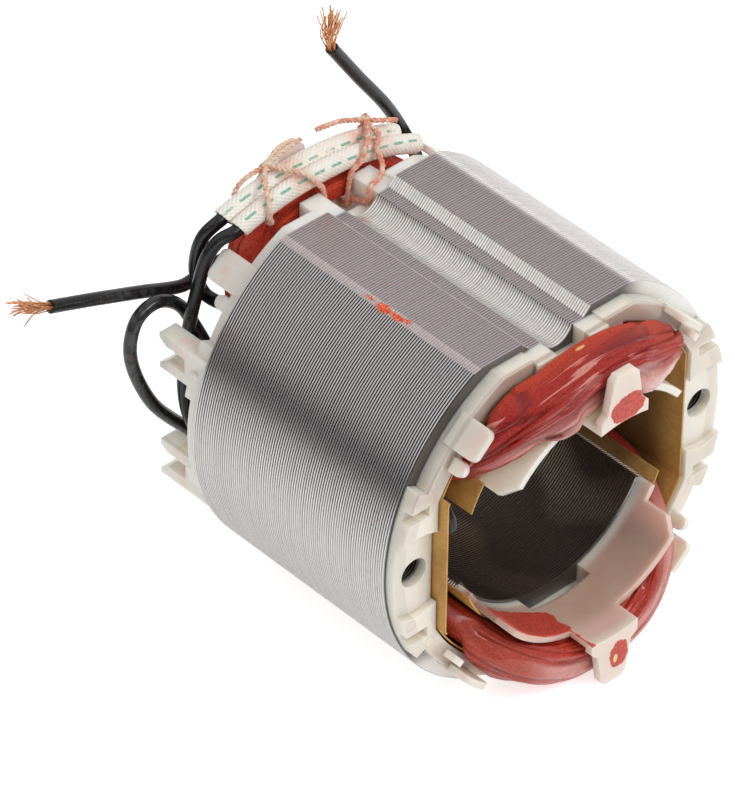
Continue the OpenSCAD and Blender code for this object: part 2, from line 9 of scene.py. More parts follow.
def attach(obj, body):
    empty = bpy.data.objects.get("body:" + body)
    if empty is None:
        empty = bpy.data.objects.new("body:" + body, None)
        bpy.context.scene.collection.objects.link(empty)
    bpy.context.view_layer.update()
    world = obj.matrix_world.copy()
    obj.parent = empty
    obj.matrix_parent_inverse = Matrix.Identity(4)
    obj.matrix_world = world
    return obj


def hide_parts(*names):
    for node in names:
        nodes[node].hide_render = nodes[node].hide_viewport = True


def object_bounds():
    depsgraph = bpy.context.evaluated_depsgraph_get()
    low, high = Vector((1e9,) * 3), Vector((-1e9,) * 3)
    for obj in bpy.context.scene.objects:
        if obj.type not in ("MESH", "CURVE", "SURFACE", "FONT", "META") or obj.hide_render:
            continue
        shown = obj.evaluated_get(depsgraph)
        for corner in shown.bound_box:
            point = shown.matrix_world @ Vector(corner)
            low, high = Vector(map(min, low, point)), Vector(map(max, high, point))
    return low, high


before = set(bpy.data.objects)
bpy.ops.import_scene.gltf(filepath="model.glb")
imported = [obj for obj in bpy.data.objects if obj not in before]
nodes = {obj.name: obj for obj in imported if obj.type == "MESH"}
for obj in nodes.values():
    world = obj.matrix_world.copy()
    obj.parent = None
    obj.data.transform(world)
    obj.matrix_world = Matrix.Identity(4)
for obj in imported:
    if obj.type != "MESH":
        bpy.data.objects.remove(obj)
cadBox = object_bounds()
scene = bpy.context.scene
mm = 0.001
print("frame loaded:", len(nodes), "nodes")


# sRGB bytes to the linear colour that sockets take
def tint(red, green, blue):
    linear = [(c / 255 / 12.92 if c < 10.3 else ((c / 255 + 0.055) / 1.055) ** 2.4) for c in (red, green, blue)]
    return (*linear, 1)


# a Math node as a method, with the wire first or, for reflected forms, last
def maths(operation, turned=False):
    return lambda wire, *others: wire.calc(operation, *((*others, wire) if turned else (wire, *others)))


# one socket with arithmetic, so that node maths reads as maths
class Wire:
    __add__, __radd__ = maths("ADD"), maths("ADD", True)
    __sub__, __rsub__ = maths("SUBTRACT"), maths("SUBTRACT", True)
    __mul__, __rmul__ = maths("MULTIPLY"), maths("MULTIPLY", True)
    __truediv__, __rtruediv__ = maths("DIVIDE"), maths("DIVIDE", True)
    above, most, least, __abs__ = maths("GREATER_THAN"), maths("MAXIMUM"), maths("MINIMUM"), maths("ABSOLUTE")
    part, floor, sine, root = maths("FRACT"), maths("FLOOR"), maths("SINE"), maths("SQRT")

    def __init__(self, graph, socket):
        self.graph = graph
        self.socket = socket

    def calc(self, operation, *values):
        return self.graph.node("ShaderNodeMath", {"operation": operation}, dict(enumerate(values)))

    def __neg__(self):
        return self * -1.0

    # 0 below low, 1 above high, eased between
    def ramp(self, low, high):
        return self.graph.node("ShaderNodeMapRange", {"interpolation_type": "SMOOTHSTEP"}, Value=self,
                               From_Min=low, From_Max=high)

    # 1 below low, 0 above high
    def fade(self, low, high):
        return 1.0 - self.ramp(low, high)

    # 1 from b to c, eased to 0 at a and d
    def between(self, a, b, c, d):
        return self.ramp(a, b) * self.fade(c, d)

    def other(self, name):
        return Wire(self.graph, self.socket.node.outputs[name])


# a node tree and the one way to add a node to it: kind, settings, then values or links of sockets by number or name
class Graph:
    def __init__(self, tree):
        self.tree = tree

    def node(self, kind, settings=None, sockets=None, out=0, **named):
        made = self.tree.nodes.new(kind)
        for key, value in (settings or {}).items():
            setattr(made, key, value)
        for key, value in (sockets or {}).items():
            self.feed(made.inputs[key], value)
        for key, value in named.items():
            self.feed(made.inputs[key.replace("_", " ")], value)
        return Wire(self, made.outputs[out])

    def feed(self, socket, value):
        if isinstance(value, Wire):
            self.tree.links.new(value.socket, socket)
        else:
            socket.default_value = value

    def vector(self, operation, *values, out=0):
        return self.node("ShaderNodeVectorMath", {"operation": operation}, dict(enumerate(values)), out)

    def scaled(self, vector, by):
        return self.node("ShaderNodeVectorMath", {"operation": "SCALE"}, {0: vector}, Scale=by)

    def joined(self, **axes):
        return self.node("ShaderNodeCombineXYZ", **axes)

    def angle(self, rise, run):
        return self.node("ShaderNodeMath", {"operation": "ARCTAN2"}, {0: rise, 1: run})

    # a colour is a wire, four linear values or three sRGB bytes
    def mix(self, low, high, factor):
        low, high = (tint(*c) if isinstance(c, tuple) and len(c) == 3 else c for c in (low, high))
        return self.node("ShaderNodeMix", {"data_type": "RGBA"}, {0: factor, 6: low, 7: high}, 2)


# a material: places in mm, patterns, and the shader that they feed
class Paint(Graph):
    def __init__(self, name, **constants):
        self.material = bpy.data.materials.new(name)
        self.material.use_nodes = True
        super().__init__(self.material.node_tree)
        self.shader = self.tree.nodes["Principled BSDF"]
        self.set(**constants)
        self.place = self.scaled(self.node("ShaderNodeTexCoord", out="Object"), 1000.0)
        self.x = self.node("ShaderNodeSeparateXYZ", None, {0: self.place})
        self.y, self.z = self.x.other("Y"), self.x.other("Z")

    def set(self, **values):
        for key, value in values.items():
            self.feed(self.shader.inputs[key.replace("_", " ")], value)
        return self.material

    def stretch(self, x, y, z, source=None):
        return self.vector("MULTIPLY", source or self.place, (x, y, z))

    def noise(self, scale, detail=2.0, rough=0.5, at=None):
        return self.node("ShaderNodeTexNoise", Vector=at or self.place, Scale=scale, Detail=detail, Roughness=rough)

    def cells(self, scale):
        return self.node("ShaderNodeTexVoronoi", Vector=self.place, Scale=scale)

    def radius(self):
        return (self.x * self.x + self.z * self.z).root()

    # puts a colour over what is there
    def lay(self, colour, factor=None):
        self.colour = colour if factor is None else self.mix(self.colour, colour, factor)

    def done(self, **values):
        return self.set(Base_Color=self.colour, **values)

    def attribute(self, name):
        return self.node("ShaderNodeAttribute", {"attribute_name": name}, None, "Fac")

    # angle round a tube, from what its points have noted
    def turned(self):
        return self.angle(self.attribute("roundSin"), self.attribute("roundCos"))

    # distance in mm from a spot, with each axis weighted
    def spot(self, centre, weights=(1, 1, 1)):
        away = self.vector("MULTIPLY", self.vector("SUBTRACT", self.place, centre), weights)
        return self.vector("LENGTH", away, out="Value")

    # distance from the nearest of some blots, each a spot, weights and a size
    def blots(self, first, *others):
        away = self.spot(*first[:2]) - first[2]
        for centre, weights, size in others:
            away = away.least(self.spot(centre, weights) - size)
        return away

    def bump(self, height, strength, depth, normal=None):
        below = {"Normal": normal} if normal else {}
        return self.node("ShaderNodeBump", Height=height, Strength=strength, Distance=depth * mm, **below)

    def soften(self, radius):
        return self.node("ShaderNodeBevel", {"samples": 6}, Radius=radius * mm)


def makeMesh(name, points, faces, fields=None):
    mesh = bpy.data.meshes.new(name)
    mesh.from_pydata([tuple(p) for p in points], [], faces)
    for key, values in (fields or {}).items():
        mesh.attributes.new(key, "FLOAT", "POINT").data.foreach_set("value", np.asarray(values, np.float32))
    mesh.update()
    return mesh


# faces of a net that closes on itself both ways
def netFaces(rows, columns):
    faces = []
    for i in range(rows):
        a, b = i * columns, (i + 1) % rows * columns
        faces += [(a + j, b + j, b + (j + 1) % columns, a + (j + 1) % columns) for j in range(columns)]
    return faces


def place(name, mesh, material=None, smooth=True):
    piece = bpy.data.objects.new(name, mesh)
    scene.collection.objects.link(piece)
    if material:
        mesh.materials.append(material)
    if smooth:
        mesh.polygons.foreach_set("use_smooth", [True] * len(mesh.polygons))
    return piece


# a piece that stands for CAD nodes, which it hides, hung under the root body
def settle(piece, slot, *stands):
    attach(piece, "root")
    if stands:
        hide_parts(*stands)
    return piece


def groupFor(name, **fields):
    group = bpy.data.node_groups.new(name, "GeometryNodeTree")
    group.interface.new_socket("Geometry", in_out="INPUT", socket_type="NodeSocketGeometry")
    for label, kind in fields.items():
        group.interface.new_socket(label.replace("_", " "), in_out="INPUT", socket_type="NodeSocket" + kind)
    group.interface.new_socket("Geometry", in_out="OUTPUT", socket_type="NodeSocketGeometry")
    graph = Graph(group)
    return graph, {s.name: Wire(graph, s) for s in group.nodes.new("NodeGroupInput").outputs if s.name}


# ends a group: instances made real, then the material
def endGroup(graph, geometry, material):
    real = graph.node("GeometryNodeRealizeInstances", Geometry=geometry)
    ready = graph.node("GeometryNodeSetMaterial", Geometry=real, Material=material)
    graph.feed(graph.tree.nodes.new("NodeGroupOutput").inputs[0], ready)
    return graph


# runs a geometry group on a mesh and keeps the result as a plain mesh piece
def grow(name, mesh, graph, values):
    source = bpy.data.objects.new(name + "Source", mesh)
    scene.collection.objects.link(source)
    modifier = source.modifiers.new("grow", "NODES")
    modifier.node_group = graph.tree
    for item in graph.tree.interface.items_tree:
        if item.in_out == "INPUT" and item.name in values:
            modifier[item.identifier] = values[item.name]
    bpy.context.view_layer.update()
    depsgraph = bpy.context.evaluated_depsgraph_get()
    made = bpy.data.meshes.new_from_object(source.evaluated_get(depsgraph), depsgraph=depsgraph)
    bpy.data.objects.remove(source)
    return place(name, made, smooth=False)


# camera, from the vanishing of the stack in the picture
camera = {"azimuth": -43.0, "elevation": 39.45, "roll": 0.76, "away": 1.0, "shift": (0.01347, -0.00216),
          "lens": 289.26, "sensor": 36.0}
turn, tilt, roll = (radians(camera[k]) for k in ("azimuth", "elevation", "roll"))
back = Vector((sin(turn) * cos(tilt), -cos(turn) * cos(tilt), sin(tilt)))
right = Vector((cos(turn), sin(turn), 0))
up = back.cross(right)
right, up = cos(roll) * right + sin(roll) * up, cos(roll) * up - sin(roll) * right
eye = bpy.data.objects.new("camera", bpy.data.cameras.new("camera"))
scene.collection.objects.link(eye)
spot = camera["away"] * back - camera["shift"][0] * right - camera["shift"][1] * up
eye.matrix_world = Matrix.Translation(spot) @ Matrix((right, up, back)).transposed().to_4x4()
eye.data.lens, eye.data.sensor_width = camera["lens"], camera["sensor"]
eye.data.clip_start, eye.data.clip_end = 0.05, 20
scene.camera = eye
print("camera set")


# routes of the leads, as in the solids: across, behind the rear face (or before the front), up
halfL = 21.78
routes = {
    "left": [(-49.4, 16.2, 25), (-40, 16.2, 21.6), (-30, 16.2, 17.8), (-22.6, 16.2, 15), (-18, 15.6, 16.4),
             (-16, 12.3, 19.8)],
    "top": [(8, 15.8, 46), (14, 15.8, 37.2), (19, 15.8, 30.2), (22.6, 15.8, 24), (23.4, 12.8, 19.4),
            (21.6, 8.5, 16.8)],
    "loopFront": [(-23, 0.2, 8), (-22.5, 1.4, 4.8), (-22.4, -1.6, 1.8), (-23.2, -8, 1.2)],
    "loopRear": [(-23.2, 4, 4), (-23.4, 10.6, 8), (-25, 13.8, 13.4), (-30, 13.6, 17.2), (-34.4, 13.4, 16.2),
                 (-36, 13.4, 11.2), (-34.8, 13.4, 5), (-31.4, 13.4, -2.4), (-26.6, 13.6, -8.6),
                 (-22.2, 12.2, -13.6), (-20.6, 8.2, -16.4)],
    "outer": [(129, 4.14, 6.7), (134.2, 2.34, 7.3), (140.3, -0.37, 7.3), (144.7, -2.23, 5.1), (143.9, -2.72, 1.4)],
    "inner": [(127.7, 4.94, 3.1), (133.5, 3.62, 4.3), (142.2, 1.16, 4.7), (155.1, -0.75, 4.8), (171.6, -1.91, 4.8),
              (184.3, -2.23, 4.8), (195.1, -2.37, 4.5), (204.9, -2.09, 2.7), (211.7, -2.17, -1.6)],
}


def at(*values):
    return np.array(values, float)


def unit(vector):
    return vector / np.linalg.norm(vector)


def ripple(*values):
    return noise.noise(Vector(values))


def ease(points, times=1):
    points = [np.array(p, float) for p in points]
    for _ in range(times):
        last = len(points) - 1
        fuller = []
        for i, p in enumerate(points):
            fuller.append(p)
            if i < last:
                fuller.append((9 * (p + points[i + 1]) - points[max(i - 1, 0)] - points[min(i + 2, last)]) / 16)
        points = fuller
    return points


# points that count y from the rear face, or from the front one with side -1
def behind(points, side=1):
    return [at(p[0], side * (halfL + p[1]), p[2]) for p in points]


def polar(angle, radius, depth):
    a = radians(angle)
    return at(radius * cos(a), depth, radius * sin(a))


def lengthOf(path):
    return float(sum(np.linalg.norm(b - a) for a, b in zip(path, path[1:])))


# a value kept on the points for the material to read
def noted(graph, geometry, name, value):
    return graph.node("GeometryNodeStoreNamedAttribute", {"data_type": "FLOAT", "domain": "POINT"},
                      Geometry=geometry, Name=name, Value=value)


# tube along a mesh polyline: round or lobed section, twist, lumps, and places along and round it
def tubeGroup():
    graph, given = groupFor("tubeAlong", Radius="Float", Sides="Int", Lobes="Float", Lobe_Depth="Float",
                            Twist="Float", Lump="Float", Lump_Scale="Float", Seed="Float", Step="Float",
                            Material="Material")
    line = graph.node("GeometryNodeMeshToCurve", None, {0: given["Geometry"]})
    line = graph.node("GeometryNodeResampleCurve", {"mode": "LENGTH"}, Curve=line, Length=given["Step"])
    along = graph.node("GeometryNodeSplineParameter", out="Length")
    line = noted(graph, line, "along", along * 1000.0)
    line = graph.node("GeometryNodeSetCurveTilt", Curve=line, Tilt=along * given["Twist"])
    ring = graph.node("GeometryNodeCurvePrimitiveCircle", {"mode": "RADIUS"}, Resolution=given["Sides"],
                      Radius=given["Radius"])
    spin = graph.node("GeometryNodeSplineParameter", out="Factor") * (2 * pi)
    lobe = 1.0 - given["Lobe Depth"] + given["Lobe Depth"] * (spin * given["Lobes"]).sine()
    shape = graph.scaled(graph.node("GeometryNodeInputPosition"), lobe)
    ring = graph.node("GeometryNodeSetPosition", Geometry=ring, Position=shape)
    ring = noted(graph, ring, "roundSin", spin.sine())
    ring = noted(graph, ring, "roundCos", (spin + pi / 2).sine())
    tube = graph.node("GeometryNodeCurveToMesh", Curve=line, Profile_Curve=ring, Fill_Caps=True)
    wild = graph.node("ShaderNodeTexNoise", {"noise_dimensions": "4D"}, W=given["Seed"], Detail=2.0,
                      Vector=graph.node("GeometryNodeInputPosition"), Scale=given["Lump Scale"])
    push = graph.scaled(graph.node("GeometryNodeInputNormal"), (wild - 0.5) * given["Lump"])
    tube = graph.node("GeometryNodeSetPosition", Geometry=tube, Offset=push)
    tube = graph.node("GeometryNodeSetShadeSmooth", Geometry=tube)
    return endGroup(graph, tube, given["Material"])


tubeAlong = tubeGroup()


# polylines in mm as one mesh of edges in metres
def lines(name, paths):
    points, edges = [], []
    for path in paths:
        first = len(points)
        points += [tuple(np.asarray(p) * mm) for p in path]
        edges += [(i, i + 1) for i in range(first, len(points) - 1)]
    mesh = bpy.data.meshes.new(name)
    mesh.from_pydata(points, edges, [])
    return mesh


def tube(name, paths, material, radius, sides=16, step=0.35, lobes=0.0, lobeDepth=0.0, twist=0.0, lump=0.0,
         lumpScale=400.0, seed=0.0):
    return grow(name, lines(name, paths), tubeAlong, {
        "Radius": radius * mm, "Sides": sides, "Lobes": lobes, "Lobe Depth": lobeDepth, "Twist": twist * 1000,
        "Lump": lump * mm, "Lump Scale": lumpScale, "Seed": seed, "Step": step * mm, "Material": material})


# black vinyl sheath: smooth, faint dust and scuffs
def sheathPaint():
    paint = Paint("blackSheath", Specular_IOR_Level=0.5)
    dust = paint.noise(1.1, 4.0, 0.65).ramp(0.5, 0.75) * paint.noise(7.0, 2.0).ramp(0.42, 0.6)
    specks = paint.cells(1.4).fade(0.06, 0.12)
    paint.lay(paint.mix((26, 26, 28), (84, 84, 86), dust * 0.25))
    paint.lay((150, 148, 144), specks * 0.5)
    # a paler grey patch near the top of the loop
    palerPatch = paint.spot((-35.0, 35.2, 13.0), (1, 1, 0.7)).fade(3.0, 11.0) * paint.noise(0.6, 3.0).ramp(0.35, 0.6)
    paint.lay((140, 142, 144), palerPatch * 0.16)
    smear = paint.spot((-42.0, 36.0, 10.0), (0.4, 1, 1)).fade(1.5, 4.0) * paint.noise(1.2, 3.0, 0.7).ramp(0.5, 0.6)
    paint.lay((120, 46, 34), smear * 0.4)
    rough = 0.17 + 0.2 * dust + 0.08 * paint.noise(3.0)
    return paint.done(Roughness=rough, Normal=paint.bump(paint.noise(1.6, 2.0), 0.15, 0.06))


# bare copper: bright threads with darker, redder oxidised ones
def copperPaint():
    paint = Paint("bareCopper", Metallic=1.0)
    worn = paint.noise(1.6, 3.0, 0.6)
    paint.lay(paint.mix((244, 168, 112), (255, 220, 182), worn.ramp(0.4, 0.65)))
    paint.lay((196, 108, 66), paint.noise(0.7, 2.0).ramp(0.58, 0.74))
    return paint.done(Roughness=0.3 + 0.22 * worn)


sheath, copper = sheathPaint(), copperPaint()
leads = {"diameter": 2.2, "sides": 20, "step": 0.3, "lump": 0.03, "lumpScale": 350.0, "strands": 34, "strandR": 0.1,
         "bare": (4.9, 7.9), "flare": (0.6, 2.2)}


def sheathed(name, node, path, seed=0.0):
    piece = tube(name + "Sheath", [path], sheath, leads["diameter"] / 2, leads["sides"], leads["step"],
                 lump=leads["lump"], lumpScale=leads["lumpScale"], seed=seed)
    return settle(piece, "sheath", node)


# a frayed bunch of hair-fine strands that starts inside the sheath's end
def fray(name, path, bend, seed):
    wild = random.Random(seed)
    tip, along = path[0], unit(path[0] - path[2])
    side = unit(np.cross(along, (0, 1, 0)))
    over = np.cross(along, side)
    hairs = []
    for _ in range(leads["strands"]):
        spin, ring = wild.uniform(0, 2 * pi), sqrt(wild.random())
        out = cos(spin) * side + sin(spin) * over
        tall = wild.uniform(*leads["bare"])
        flare = wild.uniform(*leads["flare"]) * ring
        curl, phase = wild.uniform(0.05, 0.3), wild.uniform(0, 6.28)
        hair = []
        for i in range(9):
            t = i / 8
            twist = spin + 1.3 * t
            lay = cos(twist) * side + sin(twist) * over
            wave = curl * sin(phase + 7 * t) * t * np.cross(along, out)
            hair.append(tip + along * (tall * t - 0.6) + lay * (0.7 * ring + flare * t * t) + bend * t * t + wave)
        hairs.append(hair)
    return tube(name, hairs, copper, leads["strandR"], 5, 0.35)


# a lead that comes out of the end turn and stops bare
def freeLead(name, route, bend, seed):
    path = ease(behind(route), 3)
    lead = sheathed(name, name, path, seed)
    hairs = settle(fray(name + "Hairs", path, at(*bend), seed), "copper", name + "_strands")
    return lengthOf(path)


long = [freeLead("left_lead", routes["left"], (-0.4, 0, 1.2), 3),
        freeLead("top_lead", routes["top"], (3, 0, 1.2), 8)]
loopPath = ease(behind(routes["loopFront"], -1) + [at(-23.4, 0, 1.8)] + behind(routes["loopRear"]), 3)
loop = sheathed("loop", "loop_wire", loopPath, 5.0)
print("leads made, mm:", [round(v, 1) for v in long], round(lengthOf(loopPath), 1))


# sleeves over the rear end turn, and the leads inside them
sleeves = {"radius": 1.75, "wall": 0.4, "base": 31.05, "middle": 9.85, "step": 1.8, "lift": 3.2, "end": 122.5,
           "outerFrom": 57.0, "innerFrom": 54.5, "turnR": 29.2, "turnGap": 6.3, "rows": 190, "columns": 48}


def sleeveAt(a):
    return sleeves["base"] + sleeves["lift"] * ((a - 86) / 38) ** 2 * (0.6 if a < 86 else 1)


def overCoil(depth, start, stop, count):
    return [polar(a, sleeveAt(a), depth) for a in np.linspace(start, stop, count)]


def around(route):
    return [polar(a, sleeves["turnR"] + r, sleeves["turnGap"] + d) for a, r, d in route]


# woven fibre sleeve: over and under threads, a broken green tracer and varnish that has crept in
def braidPaint():
    paint = Paint("wovenSleeve", Specular_IOR_Level=0.25, Sheen_Weight=0.3)
    along, angle = paint.attribute("along"), paint.turned()
    across = angle * (13 / pi)  # thread columns round the sleeve
    up = along * 2.3
    weave = (across * pi).sine() * (up * pi).sine()
    knit = abs((across + up).part() - 0.5) + abs((across - up).part() - 0.5)
    fuzz = paint.noise(5.0, 3.0, 0.7)
    paint.lay(paint.mix((255, 251, 244), (238, 228, 214), (knit * 0.9 + 0.4 * fuzz).ramp(0.55, 1.15)))
    paint.lay((246, 228, 206), paint.noise(0.35, 3.0).ramp(0.45, 0.7) * 0.7)
    varnish = paint.attribute("varnish")
    paint.lay((232, 150, 112), varnish * (0.55 + 0.45 * fuzz))
    line = abs(angle + (along * 0.12).sine() * 0.25 + 0.7).ramp(0.17, 0.1)
    dash = (along * 0.3).part().ramp(0.36, 0.44) * line * paint.noise(0.17).ramp(0.32, 0.42)
    paint.lay((70, 172, 148), dash * (0.65 + 0.2 * weave.ramp(-0.5, 0.5)))
    height = weave * 0.5 + fuzz * 0.4
    return paint.done(Roughness=0.86 + 0.1 * fuzz, Normal=paint.bump(height, 0.8, 0.16))


# hollow woven tube along the end turn, slightly flattened and crumpled
def sleeve(name, depth, start, seed):
    rows, columns = sleeves["rows"], sleeves["columns"]
    angles = np.linspace(start, sleeves["end"], rows)
    points, along, sinus, cosine, varnish = [], [], [], [], []
    for inside in (False, True):
        for i in (range(rows - 1, -1, -1) if inside else range(rows)):
            a = angles[i]
            middle, outward = polar(a, sleeveAt(a), halfL + depth), polar(a, 1, 0)
            for j in range(columns):
                spin = 2 * pi * j / columns
                sway = ripple(a * 0.09, cos(spin) * 0.9 + seed, sin(spin) * 0.9)
                fine = ripple(a * 0.5, cos(spin) * 3 + seed, sin(spin) * 3)
                radius = sleeves["radius"] * (1 + 0.035 * sway + 0.012 * fine) - 0.06
                nearEnd = max(0.0, 1 - min(i, rows - 1 - i) / 6)
                radius += 0.1 * nearEnd * ripple(cos(spin) * 2, sin(spin) * 2, seed + a)
                if inside:
                    radius -= sleeves["wall"]
                rim = outward * cos(spin) * (radius * 0.97) + at(0, sin(spin) * radius, 0)
                points.append((middle + rim) * mm)
                along.append((a - start) * 0.56 + 0.12 * sway)
                sinus.append(sin(spin))
                cosine.append(cos(spin))
                tied = min(abs(a - 72), abs(a - 100) * 1.6)
                varnish.append(max(0.0, 1 - tied / 9) * (0.6 + 0.6 * ripple(a * 0.3, spin, seed)))
    mesh = makeMesh(name, points, netFaces(2 * rows, columns), {
        "along": along, "roundSin": sinus, "roundCos": cosine, "varnish": varnish})
    return settle(place(name + "Weave", mesh, braid), "braid", name)


braid = braidPaint()
outerDepth, innerDepth = sleeves["middle"] + sleeves["step"], sleeves["middle"] - sleeves["step"]
sleeve("outer_lead_sleeve", outerDepth, sleeves["outerFrom"], 1.0)
sleeve("inner_lead_sleeve", innerDepth, sleeves["innerFrom"], 4.0)
for name, depth, start, route in (("outer_sleeved_wire", outerDepth, sleeves["outerFrom"] + 2, routes["outer"]),
                                  ("inner_sleeved_wire", innerDepth, sleeves["innerFrom"] + 2, routes["inner"])):
    path = behind(overCoil(depth, start, sleeves["end"] + 1.5, 12) + around(route))
    sheathed(name, name, ease(path, 2))
print("sleeves and sleeved leads made")


# lacing string: three twisted yarns over both sleeves, down behind the lugs and round the end turn
ties = {"radius": 0.5, "off": 0.6, "twist": 2.3, "knotR": 1.05, "turnFront": 5.7, "turnBack": 16.1, "under": 23.6,
        "rearIn": 24.2, "rearTurn": 15.5, "lugX": 3.4, "ledge": 29.15}
middle, step, turnR, turnGap = (sleeves[k] for k in ("middle", "step", "turnR", "turnGap"))
sleeveFront = middle - step - sleeves["radius"] - ties["off"]
sleeveBack = middle + step + sleeves["radius"] + ties["off"]
slotA = degrees(asin((ties["lugX"] - ties["off"] - 0.4) / (turnR - 2.2)))


def above(a):
    return sleeveAt(a) + sleeves["radius"] + ties["off"]


# places at a share of the way from angle a to b
def sweep(a, b):
    return lambda t, radius, depth: polar(a * (1 - t) + b * t, radius, depth)


def knotAt(a):
    return polar(a, above(a) + 0.25, middle + step + 1)


def overSleeves(a, b):
    on, far = sweep(a, b), a * 0.35 + b * 0.65
    return [knotAt(a), on(0.2, above(a), middle), on(0.45, above(a), middle - step - 0.6),
            on(0.65, above(far) - 0.9, sleeveFront + 0.35), on(0.8, sleeveAt(b), sleeveFront),
            on(0.95, turnR + 0.9, sleeveFront), polar(b, turnR - 2.2, ties["turnFront"]),
            polar(b, ties["rearIn"] + 0.4, ties["turnFront"])]


def backUp(a, b, c):
    out, up = sweep(b, c), sweep(c, a)
    under, rear = ties["under"], ties["turnBack"]
    return [out(0.1, under, turnGap + 0.7), out(0.5, under, turnGap + 4.6), polar(c, under, ties["rearTurn"] - 0.7),
            up(0.3, ties["rearIn"] + 0.6, rear), up(0.7, turnR - 1.2, rear), polar(a, turnR + 1.2, rear - 1.3),
            polar(a, sleeveAt(a) - 0.6, sleeveBack + 0.3), polar(a, above(a) - 0.5, sleeveBack - 0.5)]


# a second turn of the left tie, round the sleeves only
def roundBoth(a, b):
    on = sweep(a, b)
    near, half, far = (above(a * (1 - t) + b * t) for t in (0.3, 0.6, 0.65))
    low = sleeveAt(b) - sleeves["radius"] - ties["off"] - 0.16
    return [knotAt(a), on(0.3, near, middle + 1.2), on(0.65, far, middle - step - 0.3),
            on(0.85, above(b) - 0.9, sleeveFront + 0.35), polar(b, sleeveAt(b), sleeveFront),
            polar(b, low + 0.9, sleeveFront + 0.35), polar(b, low, middle - step), polar(b, low, middle + step),
            polar(b, low + 0.9, sleeveBack - 0.35), polar(b, sleeveAt(b), sleeveBack),
            on(0.6, half - 0.7, sleeveBack - 0.35), knotAt(a)]


# cotton twine: pale yarn stained by the varnish near the coil and the knots
def twinePaint():
    paint = Paint("lacingTwine", Specular_IOR_Level=0.2, Sheen_Weight=0.4)
    fuzz = paint.noise(3.2, 4.0, 0.7)
    yarn = (paint.turned() * 9.0 + paint.attribute("along") * 9.0).sine()
    soak = (paint.noise(0.45, 3.0, 0.6) + (32.5 - paint.radius()) * 0.05).ramp(0.38, 0.72)
    paint.lay(paint.mix((250, 220, 192), (242, 168, 134), soak))
    knot = paint.x.ramp(-1.0, 3.0)
    paint.lay((232, 116, 78), (paint.noise(0.8, 3.0, 0.6) + 0.12 * knot).ramp(0.48, 0.7) * 0.85)
    # painted highlight: the raised twist of the yarn paler than its grooves
    paint.lay((255, 244, 232), yarn.ramp(0.3, 1.0) * 0.4)
    return paint.done(Roughness=0.82 + 0.14 * fuzz, Normal=paint.bump(yarn * 0.4 + fuzz, 0.7, 0.12))


twine = twinePaint()


# two turns of string drawn round one another
def knotPath(centre, size, seed):
    wild = random.Random(seed)
    a, b, c = (wild.uniform(0, 6.28) for _ in range(3))
    return [centre + size * at(0.75 * sin(2.0 * t + a), 0.55 * sin(3.0 * t + b), 0.5 * sin(t + c))
            for t in np.linspace(0, 5.6, 24)]


def tie(name, knot, runs, tails, seed):
    centre = knotAt(knot)
    paths = [behind(ease(run, 2)) for run in runs]
    paths += [behind(ease([centre] + [centre + at(*t) for t in tail], 3)) for tail in tails]
    paths.append(behind(knotPath(centre, ties["knotR"] * 0.72, seed)))
    piece = tube(name + "Twine", paths, twine, ties["radius"] * 0.96, sides=18, step=0.16, lobes=3.0,
                 lobeDepth=0.16, twist=ties["twist"], lump=0.16, lumpScale=900.0, seed=seed)
    return settle(piece, "twine", name)


lugX, ledge, off = ties["lugX"], ties["ledge"], ties["off"]
overLug = [knotAt(69), polar(69.5, above(69), middle), polar(72, above(69), middle - 2.4),
           polar(74.5, above(74.5) - 0.9, sleeveFront + 0.35), at(lugX + 4.4, 3.6, ledge + 1.2),
           at(lugX + 2, 1.8, ledge + 0.8), at(lugX + 0.3, 1.3, ledge + 0.9),
           at(lugX - off - 0.1, 1.2, ledge + 0.3), at(lugX - off, 1.2, ledge - 2),
           at(lugX - off, 2.6, ledge - 2.8), at(lugX - off, ties["turnFront"] - 0.2, ties["rearIn"] + 1),
           polar(89 - slotA, ties["rearIn"] + 0.3, ties["turnFront"] - 0.05),
           polar(88.6 - slotA, ties["under"], turnGap + 0.7),
           polar(81.5, ties["under"], turnGap + 4.6)]
tie("left_lacing_tie", 104, [overSleeves(104, 90 + slotA) + backUp(105, 90 + slotA, 104.5) + [knotAt(104)],
                             roundBoth(104, 115)],
    [[(2.9, -0.65, 1.55), (6.5, -0.65, 2.05)], [(2.7, 0.55, 1.35), (5.9, 0.65, 1.45)]], 2.0)
tie("right_lacing_tie", 69, [overSleeves(69, 90 - slotA) + backUp(67, 90 - slotA, 75.5) + [knotAt(69)], overLug],
    [[(-5.8, -0.45, 2.8), (-10.8, -0.65, 3.8)], [(2, -2, 0), (4.6, -2.4, -1)]], 6.0)
print("lacing made")


# pile of stamped sheets: one bevelled sheet, repeated along the axis
stack = {"radius": 35.0, "count": 88, "pitch": 0.495, "flat": 30.9, "bore": 20.9, "poleArc": 126.0, "tip": 22.8,
         "neck": 11.5, "yoke": 29.2, "slotX": 26.4, "holeX": 30.3, "holeR": 2.2, "keyX": 7.2, "ledge": 1.75,
         "grooveX": 3.3, "grooveDepth": 2.3, "land": 1.5, "edge": 0.13, "air": 0.02, "loose": 0.012}


def arc(radius, start, stop, count, centre=(0, 0)):
    return [at(centre[0] + radius * cos(a), centre[1] + radius * sin(a))
            for a in np.radians(np.linspace(start, stop, count))]


